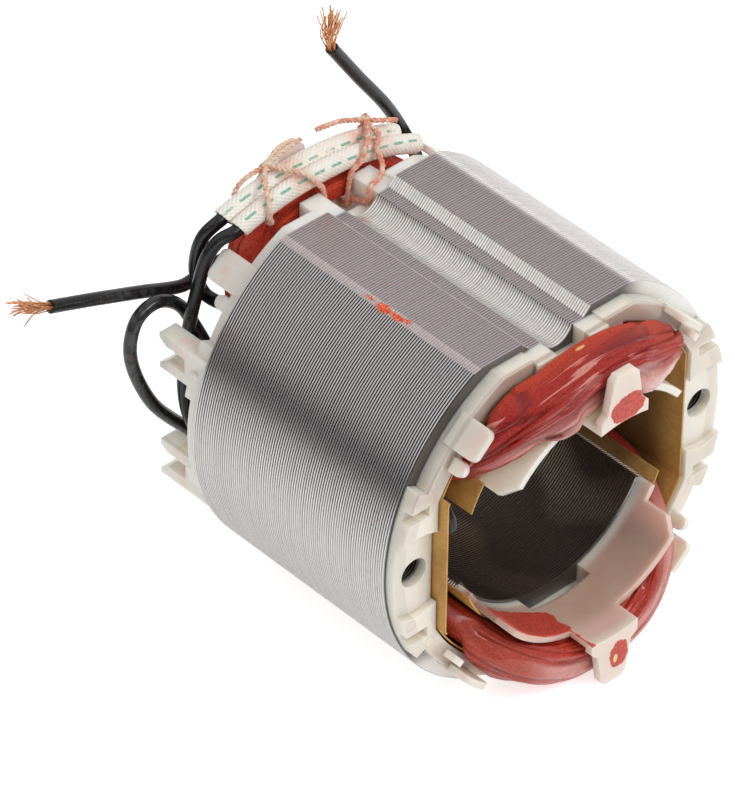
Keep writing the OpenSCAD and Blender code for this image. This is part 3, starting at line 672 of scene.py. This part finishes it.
# loops of the sheet in the x-z plane: the outside runs against the clock, the openings with it
def sheetLoops():
    s = stack
    half = pi / 4 - asin(s["flat"] / s["radius"]) / 2
    out = s["radius"] * cos(half) - s["land"] / 2 * tan(half)
    corner = 90 - degrees(half + acos(out / s["radius"]))
    edge = (out - s["flat"] * cos(half)) / sin(half)
    low = s["flat"] - s["ledge"]
    grooveR = (s["grooveX"] ** 2 + s["grooveDepth"] ** 2) / (2 * s["grooveDepth"])
    grooveZ = low - s["grooveDepth"] + grooveR
    dip = degrees(asin((grooveZ - low) / grooveR))
    key = [at(s["keyX"], s["flat"]), at(s["keyX"] - s["ledge"], low)]
    key += arc(grooveR, -dip, -180 + dip, 15, (0, grooveZ))
    key += [at(-s["keyX"] + s["ledge"], low), at(-s["keyX"], s["flat"])]
    top = [at(edge, s["flat"])] + key + [at(-edge, s["flat"])]
    outside = arc(s["radius"], -corner, corner, 34) + top + arc(s["radius"], 180 - corner, 180 + corner, 34)
    outside += [-p for p in top]
    mouth = 90 - s["poleArc"] / 2
    neckTip, neckYoke = (degrees(acos(s["neck"] / s[k])) for k in ("tip", "yoke"))
    wall = degrees(acos(s["slotX"] / s["yoke"]))
    slot = arc(s["tip"], mouth, neckTip, 8) + arc(s["yoke"], neckYoke, wall, 10)
    slotRight = slot + [at(p[0], -p[1]) for p in slot[::-1]]
    slotLeft = [-p for p in slotRight]
    inside = arc(s["bore"], 180 - mouth, mouth, 28) + slotRight
    inside += arc(s["bore"], -mouth, -180 + mouth, 28) + slotLeft
    holes = [arc(s["holeR"], 360, 0, 17, (x, 0))[:-1] for x in (s["holeX"], -s["holeX"])]
    return [outside, inside] + holes


# points of a loop moved into the sheet by a little, square to its edges
def shrink(loop, by):
    moved = []
    for i, p in enumerate(loop):
        a, b = loop[i - 1], loop[(i + 1) % len(loop)]
        u, v = unit(p - a), unit(b - p)
        n, m = at(-u[1], u[0]), at(-v[1], v[0])
        side = n + m
        side = side / max(np.dot(side, n), 0.5)
        moved.append(p + by * side)
    return moved


def sheetMesh():
    loops = sheetLoops()
    edge, half = stack["edge"], (stack["pitch"] - stack["air"]) / 2
    points, faces, caps = [], [], []
    for loop in loops:
        count, small = len(loop), shrink(loop, edge)
        rings = []
        for ring, y in ((small, -half), (loop, edge - half), (loop, half - edge), (small, half)):
            rings.append(len(points))
            points += [(p[0] * mm, y * mm, p[1] * mm) for p in ring]
        for a, b in zip(rings, rings[1:]):
            faces += [(a + i, a + (i + 1) % count, b + (i + 1) % count, b + i) for i in range(count)]
        caps.append((small, rings[0], rings[3]))
    flat = [[Vector((p[0], p[1], 0)) for p in small] for small, _, _ in caps]
    front = [first + i for small, first, _ in caps for i in range(len(small))]
    rear = [last + i for small, _, last in caps for i in range(len(small))]
    for a, b, c in tessellate_polygon(flat):
        p, q, r = (points[front[k]] for k in (a, b, c))
        turned = (q[0] - p[0]) * (r[2] - p[2]) - (q[2] - p[2]) * (r[0] - p[0]) > 0
        a, b, c = (a, b, c) if turned else (a, c, b)
        faces.append((front[a], front[b], front[c]))
        faces.append((rear[a], rear[c], rear[b]))
    mesh = makeMesh("sheet", points, faces)
    mesh.validate()
    mesh.polygons.foreach_set("use_smooth", [True] * len(mesh.polygons))
    mesh.set_sharp_from_angle(angle=radians(12.5))
    return mesh


def pileGroup():
    graph, given = groupFor("pileOfSheets", Count="Int", Pitch="Float", Loose="Float", Seed="Int",
                            Material="Material")
    half = (given["Count"] - 1.0) * given["Pitch"] * 0.5
    line = graph.node("GeometryNodeMeshLine", {"mode": "OFFSET"}, Count=given["Count"],
                      Start_Location=graph.joined(Y=-half), Offset=graph.joined(Y=given["Pitch"]))
    wild = graph.node("FunctionNodeRandomValue", {"data_type": "FLOAT_VECTOR"}, Min=(-1, 0, -1), Max=(1, 0, 1),
                      Seed=given["Seed"])
    line = graph.node("GeometryNodeSetPosition", Geometry=line, Offset=graph.scaled(wild, given["Loose"]))
    pile = graph.node("GeometryNodeInstanceOnPoints", Points=line, Instance=given["Geometry"])
    return endGroup(graph, pile, given["Material"])


# stamped electrical sheet: bright sheared band, dark torn band and seam on every edge, coated faces, with painted
# reflection and shade laid by place and facing
def steelPaint():
    paint = Paint("stampedSheet")
    x, y, z = paint.x, paint.y, paint.z
    count = (y + halfL) / stack["pitch"]
    phase, sheet = count.part(), count.floor()
    torn = abs(phase - 0.5)
    luck = paint.node("ShaderNodeTexWhiteNoise", {"noise_dimensions": "1D"}, W=sheet)
    streak = paint.noise(1.0, 3.0, 0.6, paint.stretch(1.2, 0.0, 1.2, paint.vector(
        "ADD", paint.place, paint.joined(X=luck * 60.0))))
    cloud = paint.noise(0.09, 3.0, 0.55)
    radius = paint.radius()
    bore = radius.fade(21.5, 22.0)
    wide, top = abs(x), stack["flat"]
    ledge = abs(z - (top - stack["ledge"])).fade(0.06, 0.2) * wide.between(3.2, 3.5, 7.3, 7.5)
    land = wide.between(15.6, 15.75, 17.0, 17.2) * z.ramp(29.0, 29.5)
    flat = (abs(z) - (top - 0.3)).ramp(0.0, 0.25).most(ledge)
    key = wide.between(5.2, 5.5, 7.1, 7.3) * z.ramp(28.0, 28.5) * (1.0 - flat)
    groove = wide.fade(3.1, 3.4) * z.ramp(25.0, 26.0)
    side = x.ramp(14.6, 16.4)
    # painted reflection: the outside lighter low down, where it faces the bright floor, and darker towards the top
    paint.lay(paint.mix((227, 224, 222), (203, 199, 199), z.ramp(4.0, 16.0)))
    # painted reflection and shade by facing: flats and ledge darker, the land lighter, keyway slopes, groove and
    # right side near white
    paint.lay((196, 186, 186), flat)
    paint.lay((206, 195, 194), land)
    paint.lay((246, 242, 240), key.most(side).most(groove))
    paint.lay((120, 116, 116), (streak.ramp(0.5, 0.8) * 0.25 + (luck - 0.5) * 0.16).most(0.0))
    # dark seams between the sheets, with strength varied as painted shade: stronger high up, weaker on the flats,
    # keyway, groove, land and right side
    seamAndShade = torn.ramp(0.2, 0.31) * (0.3 + 0.68 * z.ramp(-2.0, 18.0))
    for mask, share in ((flat, 0.4), (key, 0.7), (groove, 0.45), (land, 0.7), (side, 0.85)):
        seamAndShade = seamAndShade * (1.0 - share * mask)
    paint.lay((20, 18, 20), seamAndShade)
    # painted shade: the bore darkened, with light lines in each sheet's middle brightened along a wavy painted
    # glint
    around = paint.angle(z, x)
    glint = (around * 6.0 + (y * 0.35).sine() * 0.7).sine().ramp(-0.1, 0.9)
    lines = torn.fade(0.08, 0.26)
    paint.lay(paint.mix((66, 57, 52), (226, 214, 204), lines * (0.2 + 0.6 * glint)), bore)
    # painted shade: the bolt holes darkened inside, with faint thread lines
    hole = paint.vector("LENGTH", paint.joined(X=wide - stack["holeX"], Z=z), out="Value")
    paint.lay(paint.mix((22, 20, 18), (96, 90, 84), torn.ramp(0.1, 0.4)), hole.ramp(2.6, 2.5))
    facing = paint.node("ShaderNodeNewGeometry", out="Normal")
    face = abs(paint.node("ShaderNodeSeparateXYZ", None, {0: facing}).other("Y")).ramp(0.9, 0.98)
    # end faces of the sheets: clouded grey, painted pale towards the right and along the bottom edge as painted
    # reflected light
    bare = paint.mix(paint.mix((112, 106, 103), (138, 132, 128), cloud), (238, 236, 233),
                     x.ramp(13.0, 19.0).most((-z).ramp(18.0, 23.0) * wide.ramp(9.0, 11.0)))
    paint.lay(bare, face)
    rough = 0.19 + 0.08 * streak + 0.25 * face + 0.06 * bore + 0.4 * torn.ramp(0.17, 0.25) * (1.0 - face)
    wild = (paint.noise(2.2, 3.0, 0.75) - 0.5) * 2.0
    run = paint.blots(((-16.6, -1.3, 30.8), (1, 0.5, 1), 0.8), ((-16.5, 1.9, 30.9), (1.2, 0.3, 1.2), 0.42),
                      ((-16.6, -4.3, 30.8), (1, 0.42, 1), 0.62), ((-16.2, -6.3, 31.0), (1, 0.6, 1), 0.5))
    smear = (run + wild * 0.6).fade(-0.08, 0.06)
    score = abs(x + 7.05).fade(0.05, 0.14) * (z - 29.6).above(0.0)
    score = score * paint.noise(2.6, 2.0).ramp(0.42, 0.56)
    drops = paint.cells(0.3).fade(0.035, 0.05) * (z - 24.0).above(0.0)
    drops = drops.most(paint.cells(1.9).fade(0.16, 0.22) * paint.spot((-33.8, -18.6, 9.0)).fade(1.1, 1.3))
    paint.lay((226, 178, 158), score * 0.6)
    stain = smear.most(drops)
    paint.lay(paint.mix((214, 74, 40), (246, 150, 112), paint.noise(2.6, 3.0).ramp(0.4, 0.68)), stain)
    grain = paint.noise(1.0, 2.0, 0.6, paint.stretch(9.0, 2.0, 9.0)) * (1.0 - bore)
    return paint.done(Roughness=rough + 0.25 * stain, Metallic=1.0 - stain.most(score * 0.6),
                      Normal=paint.bump(grain + smear * 2.0, 0.1, 0.05))


steel = steelPaint()
pile = grow("sheetPile", sheetMesh(), pileGroup(), {
    "Count": stack["count"], "Pitch": stack["pitch"] * mm, "Loose": stack["loose"] * mm, "Seed": 4,
    "Material": steel})
settle(pile, "steel", "lamination_stack")
print("stack made:", len(pile.data.polygons), "faces")


# saddle coils: the CAD section swept on a finer net, creased along the windings
coil = {"ref": 26.0, "slotIn": 23.2, "slotOut": 28.6, "frontIn": 23.3, "frontOut": 30.7, "rearIn": 24.2,
        "rearOut": 29.2, "drop": 0.2, "sag": 2.2, "tongue": 10.3, "stem": 9.8, "tip": 22.8, "plate": 3.0,
        "front": (4.0, 13.2), "rear": (6.3, 15.5), "inW": 14.05, "outW": 30.82, "inCorner": (4.0, 3.0),
        "outCorner": (26.92, 24.98), "columns": 120, "corner": 44}


def quarter(w, l, r, n):
    side = [(w, (l - r[1]) * t) for t in np.linspace(0, 1, 12)[:-1]]
    bend = [(w - r[0] + r[0] * cos(t), l - r[1] + r[1] * sin(t)) for t in np.linspace(0, pi / 2, n)]
    end = [((w - r[0]) * (1 - t), l) for t in np.linspace(0, 1, 6)[1:]]
    return np.array(side + bend + end)


def oblong(w, rear, front, r, n):
    q, f = quarter(w, rear, r, n), quarter(w, front, r, n)
    flip = at(-1, 1)
    return np.concatenate([q, (q * flip)[::-1][1:], (f * -1)[1:], (f * -1 * flip)[::-1][1:-1]])


def soft(x):
    t = np.clip(x, 0, 1)
    return t * t * (3 - 2 * t)


def coilMesh(name, sign, seed, depth):
    c = coil
    inner = oblong(c["inW"], halfL + c["rear"][0], halfL + c["front"][0], c["inCorner"], c["corner"])
    outer = oblong(c["outW"], halfL + c["rear"][1], halfL + c["front"][1], c["outCorner"], c["corner"])
    rows, columns = len(inner), c["columns"]
    theta = np.linspace(0, 2 * pi, columns, endpoint=False)
    sag = c["sag"] if sign > 0 else 0
    right = soft((outer[:, 0] - 6) / 9) * soft((-outer[:, 1] - halfL - c["plate"]) / 3) * (sag > 0)
    packed = np.where(theta < pi / 2, 0.75, np.where(theta < pi, 0.45, 0.75))[None, :].repeat(rows, 0)
    packed = np.where(theta > 1.5 * pi, (0.6 - 0.3 * right)[:, None], packed)
    u = np.sign(np.cos(theta)) * np.abs(np.cos(theta)) ** packed
    v = np.sign(np.sin(theta)) * np.abs(np.sin(theta)) ** packed
    share = ((u + 1) / 2)[..., None]
    flat = inner[:, None, :] * (1 - share) + outer[:, None, :] * share
    angle = flat[..., 0] / c["ref"]
    rise = soft((np.abs(flat[..., 1]) - halfL - c["plate"] - 0.5) / 1.8)
    atFront = flat[..., 1] < 0
    low = c["slotIn"] * (1 - rise) + np.where(atFront, c["frontIn"], c["rearIn"]) * rise
    hang = soft((-flat[..., 1] - halfL - c["tongue"] - 0.4) / 1.4)
    low = low - sag * hang * soft((np.abs(flat[..., 0]) * c["tip"] / c["ref"] - c["stem"] / 2 - 0.3) / 2)
    top = c["frontOut"] - c["drop"] * np.minimum(1, np.abs(np.degrees(angle)) / 55)
    high = c["slotOut"] * (1 - rise) + np.where(atFront, top, c["rearOut"]) * rise
    radius = low + (high - low) * (v + 1) / 2
    points = np.stack([radius * np.sin(angle), flat[..., 1], radius * np.cos(angle)], -1)
    along = np.concatenate([[0], np.cumsum(np.linalg.norm(np.diff(points[:, 0], axis=0), axis=1))])
    across, onward = (np.roll(points, -1, k) - np.roll(points, 1, k) for k in (1, 0))
    normal = np.cross(across, onward)
    normal = normal / np.maximum(np.linalg.norm(normal, axis=-1, keepdims=True), 1e-9)
    centre = points.mean(1, keepdims=True)
    normal *= np.sign((normal * (points - centre)).sum(-1).mean())
    crease = np.zeros((rows, columns))
    for i in range(rows):
        s = along[i] * 0.045
        for j in range(columns):
            x, y = cos(theta[j]), sin(theta[j])
            lean = 0.25 * sin(s * 1.7 + seed)
            big = ripple(x * 1.9 + lean, y * 1.9 - lean, s + seed)
            mid = ripple(x * 4.1 - lean, y * 4.1, s * 1.6 + seed + 7)
            fine = ripple(x * 8.3, y * 8.3 + lean, s * 2.1 + seed + 3)
            crease[i, j] = (0.66 * (1 - soft(abs(big) / 0.26)) + 0.34 * (1 - soft(abs(mid) / 0.26))
                            + 0.12 * (1 - soft(abs(fine) / 0.35)))
    outside = soft((np.abs(points[..., 1]) - halfL - c["plate"]) / 2)
    depth = depth * (0.3 + 0.7 * soft((u + 0.3) / 0.7)) * (1 - 0.25 * soft((v - 0.4) / 0.5))
    swell = 0.3 + 0.9 * soft((-8 - sign * points[..., 0]) / 5)
    swell = np.where(atFront, swell * soft((0.4 - u) / 0.8) * soft((v + 0.2) / 0.8), 0)
    points = points - normal * ((crease * depth - swell) * outside + 0.05)[..., None]
    points[..., 2] *= sign
    points[..., 0] *= sign
    return makeMesh(name, points.reshape(-1, 3) * mm, netFaces(rows, columns), {
        "crease": crease.ravel(), "along": np.repeat(along, columns), "face": u.ravel(), "lift": v.ravel()})


# enamelled wire under red varnish: sandy and orange by the plate, wet in the middle with painted highlight streaks,
# painted shade in the creases, rear end turns painted brighter, milky where it has run off, with a painted
# reflection of the floor in the same pale pink
def varnishPaint():
    paint = Paint("redVarnish", Specular_IOR_Level=0.3, Coat_Roughness=0.1)
    x, y, z = paint.x, paint.y, paint.z
    crease, face, lift = paint.attribute("crease"), paint.attribute("face"), paint.attribute("lift")
    grain = (0.45 * paint.cells(4.6) + 1.1 * paint.noise(2.8, 4.0, 0.75) - 0.35).fade(0.1, 0.75)
    coarse = paint.noise(0.9, 3.0, 0.6)
    upper = z.above(0.0)
    lower = 1.0 - upper
    rows = paint.noise(1.0, 2.0, 0.5, paint.joined(X=face * 2.6, Y=lift * 2.6,
                                                   Z=paint.attribute("along") * 0.035 + upper * 9.0))
    paint.lay(paint.mix((152, 32, 24), (208, 66, 47), grain))
    paint.lay((232, 80, 42), lift.ramp(0.1, 0.9) * (-face).ramp(-0.2, 0.8) * (0.4 + 0.6 * grain))
    wet = face.ramp(-0.7, -0.1) * rows.ramp(0.36, 0.46) * x.fade(8.0, 15.0)
    paint.lay(paint.mix((128, 10, 8), (186, 34, 24), grain), wet * upper * 0.85)
    # rear end turns painted a brighter orange-red, as painted light
    rear = y.above(0.0)
    paint.lay(paint.mix((190, 42, 24), (240, 88, 50), grain), rear * 0.85)
    paint.lay((222, 88, 66), upper * x.ramp(8.0, 14.0) * (1.0 - rear) * (0.2 + 0.3 * grain))
    # painted highlight: thin tapered pale streaks along the fold crests in the wet middle
    streak = (paint.noise(0.13, 1.0) * 0.27 - 0.127 - abs(rows - 0.52)).ramp(0.0, 0.02)
    sheen = wet * upper * streak * (0.4 + paint.noise(2.2, 3.0)).least(1.0) * abs(face - 0.3).fade(0.3, 0.7)
    paint.lay((244, 178, 164), sheen * 0.6)
    # milky varnish film, with a painted reflection of the bright floor laid over the lower faces in the same pale
    # pink
    milkAndReflection = upper * (0.55 - lift).ramp(0.0, 0.9) + lower * (0.85 - abs(lift - 0.1)).ramp(0.0, 0.6)
    milkAndReflection = milkAndReflection * face.ramp(-0.5, 0.4) * (0.3 + 0.9 * rows.ramp(0.38, 0.6)) * (abs(x) - 21.0).ramp(2.0, -6.0)
    paint.lay(paint.mix((194, 108, 98), (228, 176, 168), coarse), milkAndReflection.least(0.9))
    paint.lay(paint.mix((140, 34, 18), (196, 66, 36), grain), lower * (-x).ramp(9.0, 16.0) * 0.9)
    # the lower coil's right end painted pale pink, partly a milky film and partly a painted reflection of the floor
    pale = lower * x.ramp(13.0, 18.0) * face.ramp(-0.2, 0.6) * (-z).ramp(10.0, 15.0)
    paint.lay((226, 160, 148), pale * 0.6)
    film = paint.spot((12.5, -32.5, 20.5)).fade(2.0, 8.0) * (0.1 - lift).ramp(0.0, 0.8)
    paint.lay((236, 196, 192), (film * (0.45 + 0.7 * grain)).least(0.9))
    # painted shade: the creases darkened, more on the upper coil
    paint.lay((92, 10, 9), crease.ramp(0.4, 0.85) * (0.3 + 0.5 * coarse) * (0.45 + 0.55 * upper))
    pits = paint.cells(2.0).fade(0.1, 0.2) * paint.noise(0.5).ramp(0.5, 0.62)
    paint.lay((64, 8, 8), pits * 0.75 * (1.0 - 0.5 * wet))
    flake = paint.spot((-1.2, -28.1, 30.5), (0.5, 1.5, 0.3)).fade(0.44, 0.5)
    paint.lay((246, 196, 118), flake)
    shine = wet.most(milkAndReflection * 0.7)
    height = grain * (1.0 - 0.85 * shine.least(1.0)) + coarse * 0.4 - pits * 0.5
    coat = 0.06 + 0.6 * shine * (1.0 - 0.6 * lift.ramp(0.6, 0.95))
    return paint.done(Roughness=0.6 - 0.3 * shine.least(1.0), Coat_Weight=coat.least(1.0),
                      Normal=paint.bump(height, 0.8, 0.22))


varnish = varnishPaint()
for name, sign, seed, depth in (("upper_field_coil", 1, 11.0, 1.0), ("lower_field_coil", -1, 29.0, 0.5)):
    settle(place(name + "Wound", coilMesh(name, sign, seed, depth), varnish), "varnish", name)
print("coils made")


moulding = {"rings": ((20.6, 23.0), (28.3, -13.6), (-28.3, 13.9), (-27.9, -14.5), (-31.9, -8.9)), "face": -24.8,
            "ringR": 0.9, "edge": 0.28}


# moulded nylon: milky, softly rounded edges, ejector rings, and varnish that shines through or has run over it
def nylonPaint():
    paint = Paint("milkyNylon", Specular_IOR_Level=0.5, Subsurface_Weight=0.9, Subsurface_Scale=0.0024,
                  Subsurface_Radius=(1.0, 0.85, 0.7), Coat_Roughness=0.08)
    x, y, z = paint.x, paint.y, paint.z
    cloud, fine = paint.noise(0.16, 3.0, 0.55), paint.noise(2.4, 3.0, 0.6)
    radius = paint.radius()
    deep = abs(y) - halfL
    rear = y.above(0.0)
    paint.lay(paint.mix((230, 222, 207), (243, 237, 226), cloud))
    # painted glow: the rear frame brighter, as if lit through the nylon, and the front frame's outer rim warmer
    paint.lay((254, 249, 238), rear)
    paint.lay((240, 230, 206), radius.ramp(31.0, 34.0) * (1.0 - rear) * 0.4)
    plate = deep.between(2.3, 2.7, 3.2, 3.6) * (1.0 - rear)
    shade = z.ramp(10.0, 16.0).most((-z).ramp(14.0, 18.0) * (-x).ramp(14.0, 18.0))
    shade = shade.most(x.ramp(24.0, 28.0) * 0.35)
    paint.lay((182, 164, 150), plate * shade * 0.75)
    paint.lay((228, 210, 198), deep.ramp(12.0, 13.5) * (1.0 - rear) * 0.8)
    paint.lay((214, 205, 182), fine.ramp(0.55, 0.75) * 0.2)
    paint.lay((205, 202, 196), radius.ramp(32.0, 32.5) * 0.5)
    tongue = radius.fade(22.9, 23.2) * deep.between(0.3, 2.5, 12.5, 15.0)
    clear = paint.mix((158, 117, 103), (194, 155, 136), (-z).ramp(12.0, 20.0))
    paint.lay(paint.mix(clear, (236, 192, 182), x.ramp(14.0, 18.0).most(deep.ramp(8.5, 12.0) * 0.7)),
              tongue * (0.6 + 0.4 * cloud) * (-z).ramp(-4.0, 4.0))
    tab = radius.ramp(30.0, 31.0) * deep.between(3.6, 6.0, 7.0, 7.6)
    paint.lay((236, 196, 190), tab * 0.5 * paint.noise(0.5, 2.0).ramp(0.4, 0.6))
    ring = None
    for across, up in moulding["rings"]:
        mark = abs(paint.spot((across, moulding["face"], up)) - moulding["ringR"]).fade(0.04, 0.14)
        ring = mark if ring is None else ring.most(mark)
    paint.lay((196, 184, 156), ring * 0.5)
    wild = (paint.noise(0.9, 4.0, 0.65) - 0.5) * 2.0
    front = (-y - 35.2).ramp(0.0, 0.6)
    run = paint.blots(((0.6, -37.0, 23.8), (0.75, 0.4, 1.0), 2.65), ((1.0, -37.0, -25.9), (1.0, 0.4, 0.75), 2.0))
    run = (run + wild * 0.5).most(2.0 - 6.0 * front)
    pool = (x + 4.5).most(y + 24.6 + 0.5 * (x + 8.5).most(0.0)).most((radius - 21.7) * 5.0)
    run = run.least(pool.most(z + 12.0) + (paint.noise(0.35, 2.0) - 0.5) * 3.0 + wild * 0.3)
    varnish = run.fade(-0.12, 0.1)
    red = paint.mix((212, 62, 36), (170, 40, 26), fine.ramp(0.35, 0.65))
    paint.lay(red, varnish * 0.94)
    bare = (paint.spot((0.3, -37.0, -26.5), (1.5, 0.4, 0.8)) + wild * 0.3).fade(0.55, 0.8)
    paint.lay((236, 206, 150), bare)
    rough = 0.26 + 0.14 * cloud + 0.08 * fine + 0.25 * varnish
    return paint.done(Roughness=rough, Coat_Weight=0.4 + 0.3 * cloud - 0.4 * varnish,
                      Normal=paint.bump(fine * 0.6 - ring + varnish, 0.15, 0.08, paint.soften(moulding["edge"])))


# pressed insulating paper: tan, long fibres, darker speckles, and painted shade deeper in the slot that leaves its
# ends lighter
def paperPaint():
    paint = Paint("slotPaper", Specular_IOR_Level=0.35)
    fibre = paint.noise(1.0, 4.0, 0.65, paint.stretch(5.0, 0.9, 5.0))
    cloud = paint.noise(0.2, 3.0)
    speck = paint.cells(1.3).fade(0.05, 0.12) * 0.6
    paint.lay(paint.mix((196, 148, 78), (214, 172, 104), fibre.ramp(0.35, 0.7)))
    paint.lay((176, 122, 58), cloud.ramp(0.45, 0.7) * 0.6)
    paint.lay((116, 76, 36), speck)
    # painted shade: darker deeper inside the slot, away from its ends
    paint.lay((70, 42, 18), (halfL - abs(paint.y)).ramp(-1.5, 6.0) * 0.75)
    return paint.done(Roughness=0.5 + 0.2 * fibre, Normal=paint.bump(fibre, 0.3, 0.08))


def dress(node, material):
    mesh = nodes[node].data
    mesh.materials.clear()
    mesh.materials.append(material)


nylon, paper = nylonPaint(), paperPaint()
for node in ("front_end_frame", "rear_end_frame"):
    dress(node, nylon)
for node in ("left_slot_liner", "right_slot_liner"):
    dress(node, paper)
print("frames and liners dressed")


# pale floor, soft lamps and a studio that is dim at the horizon
studio = {"floor": 3.0, "lamps": [
    {"at": (-0.15, -0.4, 0.9), "size": (0.6, 0.6), "power": 0.2},
    {"at": (0.12, -0.62, 0.65), "size": (0.95, 0.2), "power": 1.9},
    {"at": (0.28, -0.60, 0.62), "size": (0.4, 0.08), "power": 1.4}]}


def floorPaint():
    paint = Paint("paleFloor", Specular_IOR_Level=0.1, Emission_Strength=0.65)
    seen = paint.node("ShaderNodeLightPath", out="Is Camera Ray")
    far = paint.spot((0.0, 0.0, -35.0)).ramp(160.0, 700.0)
    glow = paint.mix(paint.mix((0.44, 0.44, 0.44, 1), (0.1, 0.1, 0.1, 1), far), (1, 1, 1, 1), seen)
    paint.lay(paint.mix((241, 241, 241), (150, 150, 150), far))
    return paint.done(Roughness=0.8 + 0.1 * paint.noise(0.05), Emission_Color=glow)


low = cadBox[0].z - 0.0004
size = studio["floor"]
floorMesh = makeMesh("floor", [(-size, -size, low), (size, -size, low), (size, size, low), (-size, size, low)],
                     [(0, 1, 2, 3)])
place("floor", floorMesh, floorPaint(), smooth=False)
for i, lamp in enumerate(studio["lamps"]):
    data = bpy.data.lights.new("lamp%d" % i, "AREA")
    data.shape, data.energy = "RECTANGLE", lamp["power"]
    data.size, data.size_y = lamp["size"]
    made = bpy.data.objects.new("lamp%d" % i, data)
    made.location = lamp["at"]
    made.rotation_euler = (-Vector(lamp["at"])).to_track_quat("-Z", "Y").to_euler()
    scene.collection.objects.link(made)

world = bpy.data.worlds.new("studio")
world.use_nodes = True
scene.world = world
sky = Graph(world.node_tree)
aim = sky.node("ShaderNodeSeparateXYZ", None, {0: sky.node("ShaderNodeTexCoord", out="Generated")})
height = aim.other("Z")
wall = (aim * 0.82 + aim.other("Y") * 0.57).ramp(0.5, 0.9) * height.fade(0.15, 0.45)
glow = sky.mix((0.18, 0.18, 0.185, 1), (0.72, 0.71, 0.7, 1), height.ramp(0.12, 0.62))
patch = (aim * -0.6 + aim.other("Y") * 0.56 + height * 0.57).ramp(0.85, 0.97)
glow = sky.mix(glow, (0.95, 0.94, 0.93, 1), patch)
glow = sky.mix(glow, (0.95, 0.95, 0.95, 1), wall)
glow = sky.mix(glow, (1, 1, 1, 1), sky.node("ShaderNodeLightPath", out="Is Camera Ray"))
sky.feed(world.node_tree.nodes["Background"].inputs["Color"], glow)
scene.view_settings.view_transform = "Standard"
print("stage set")
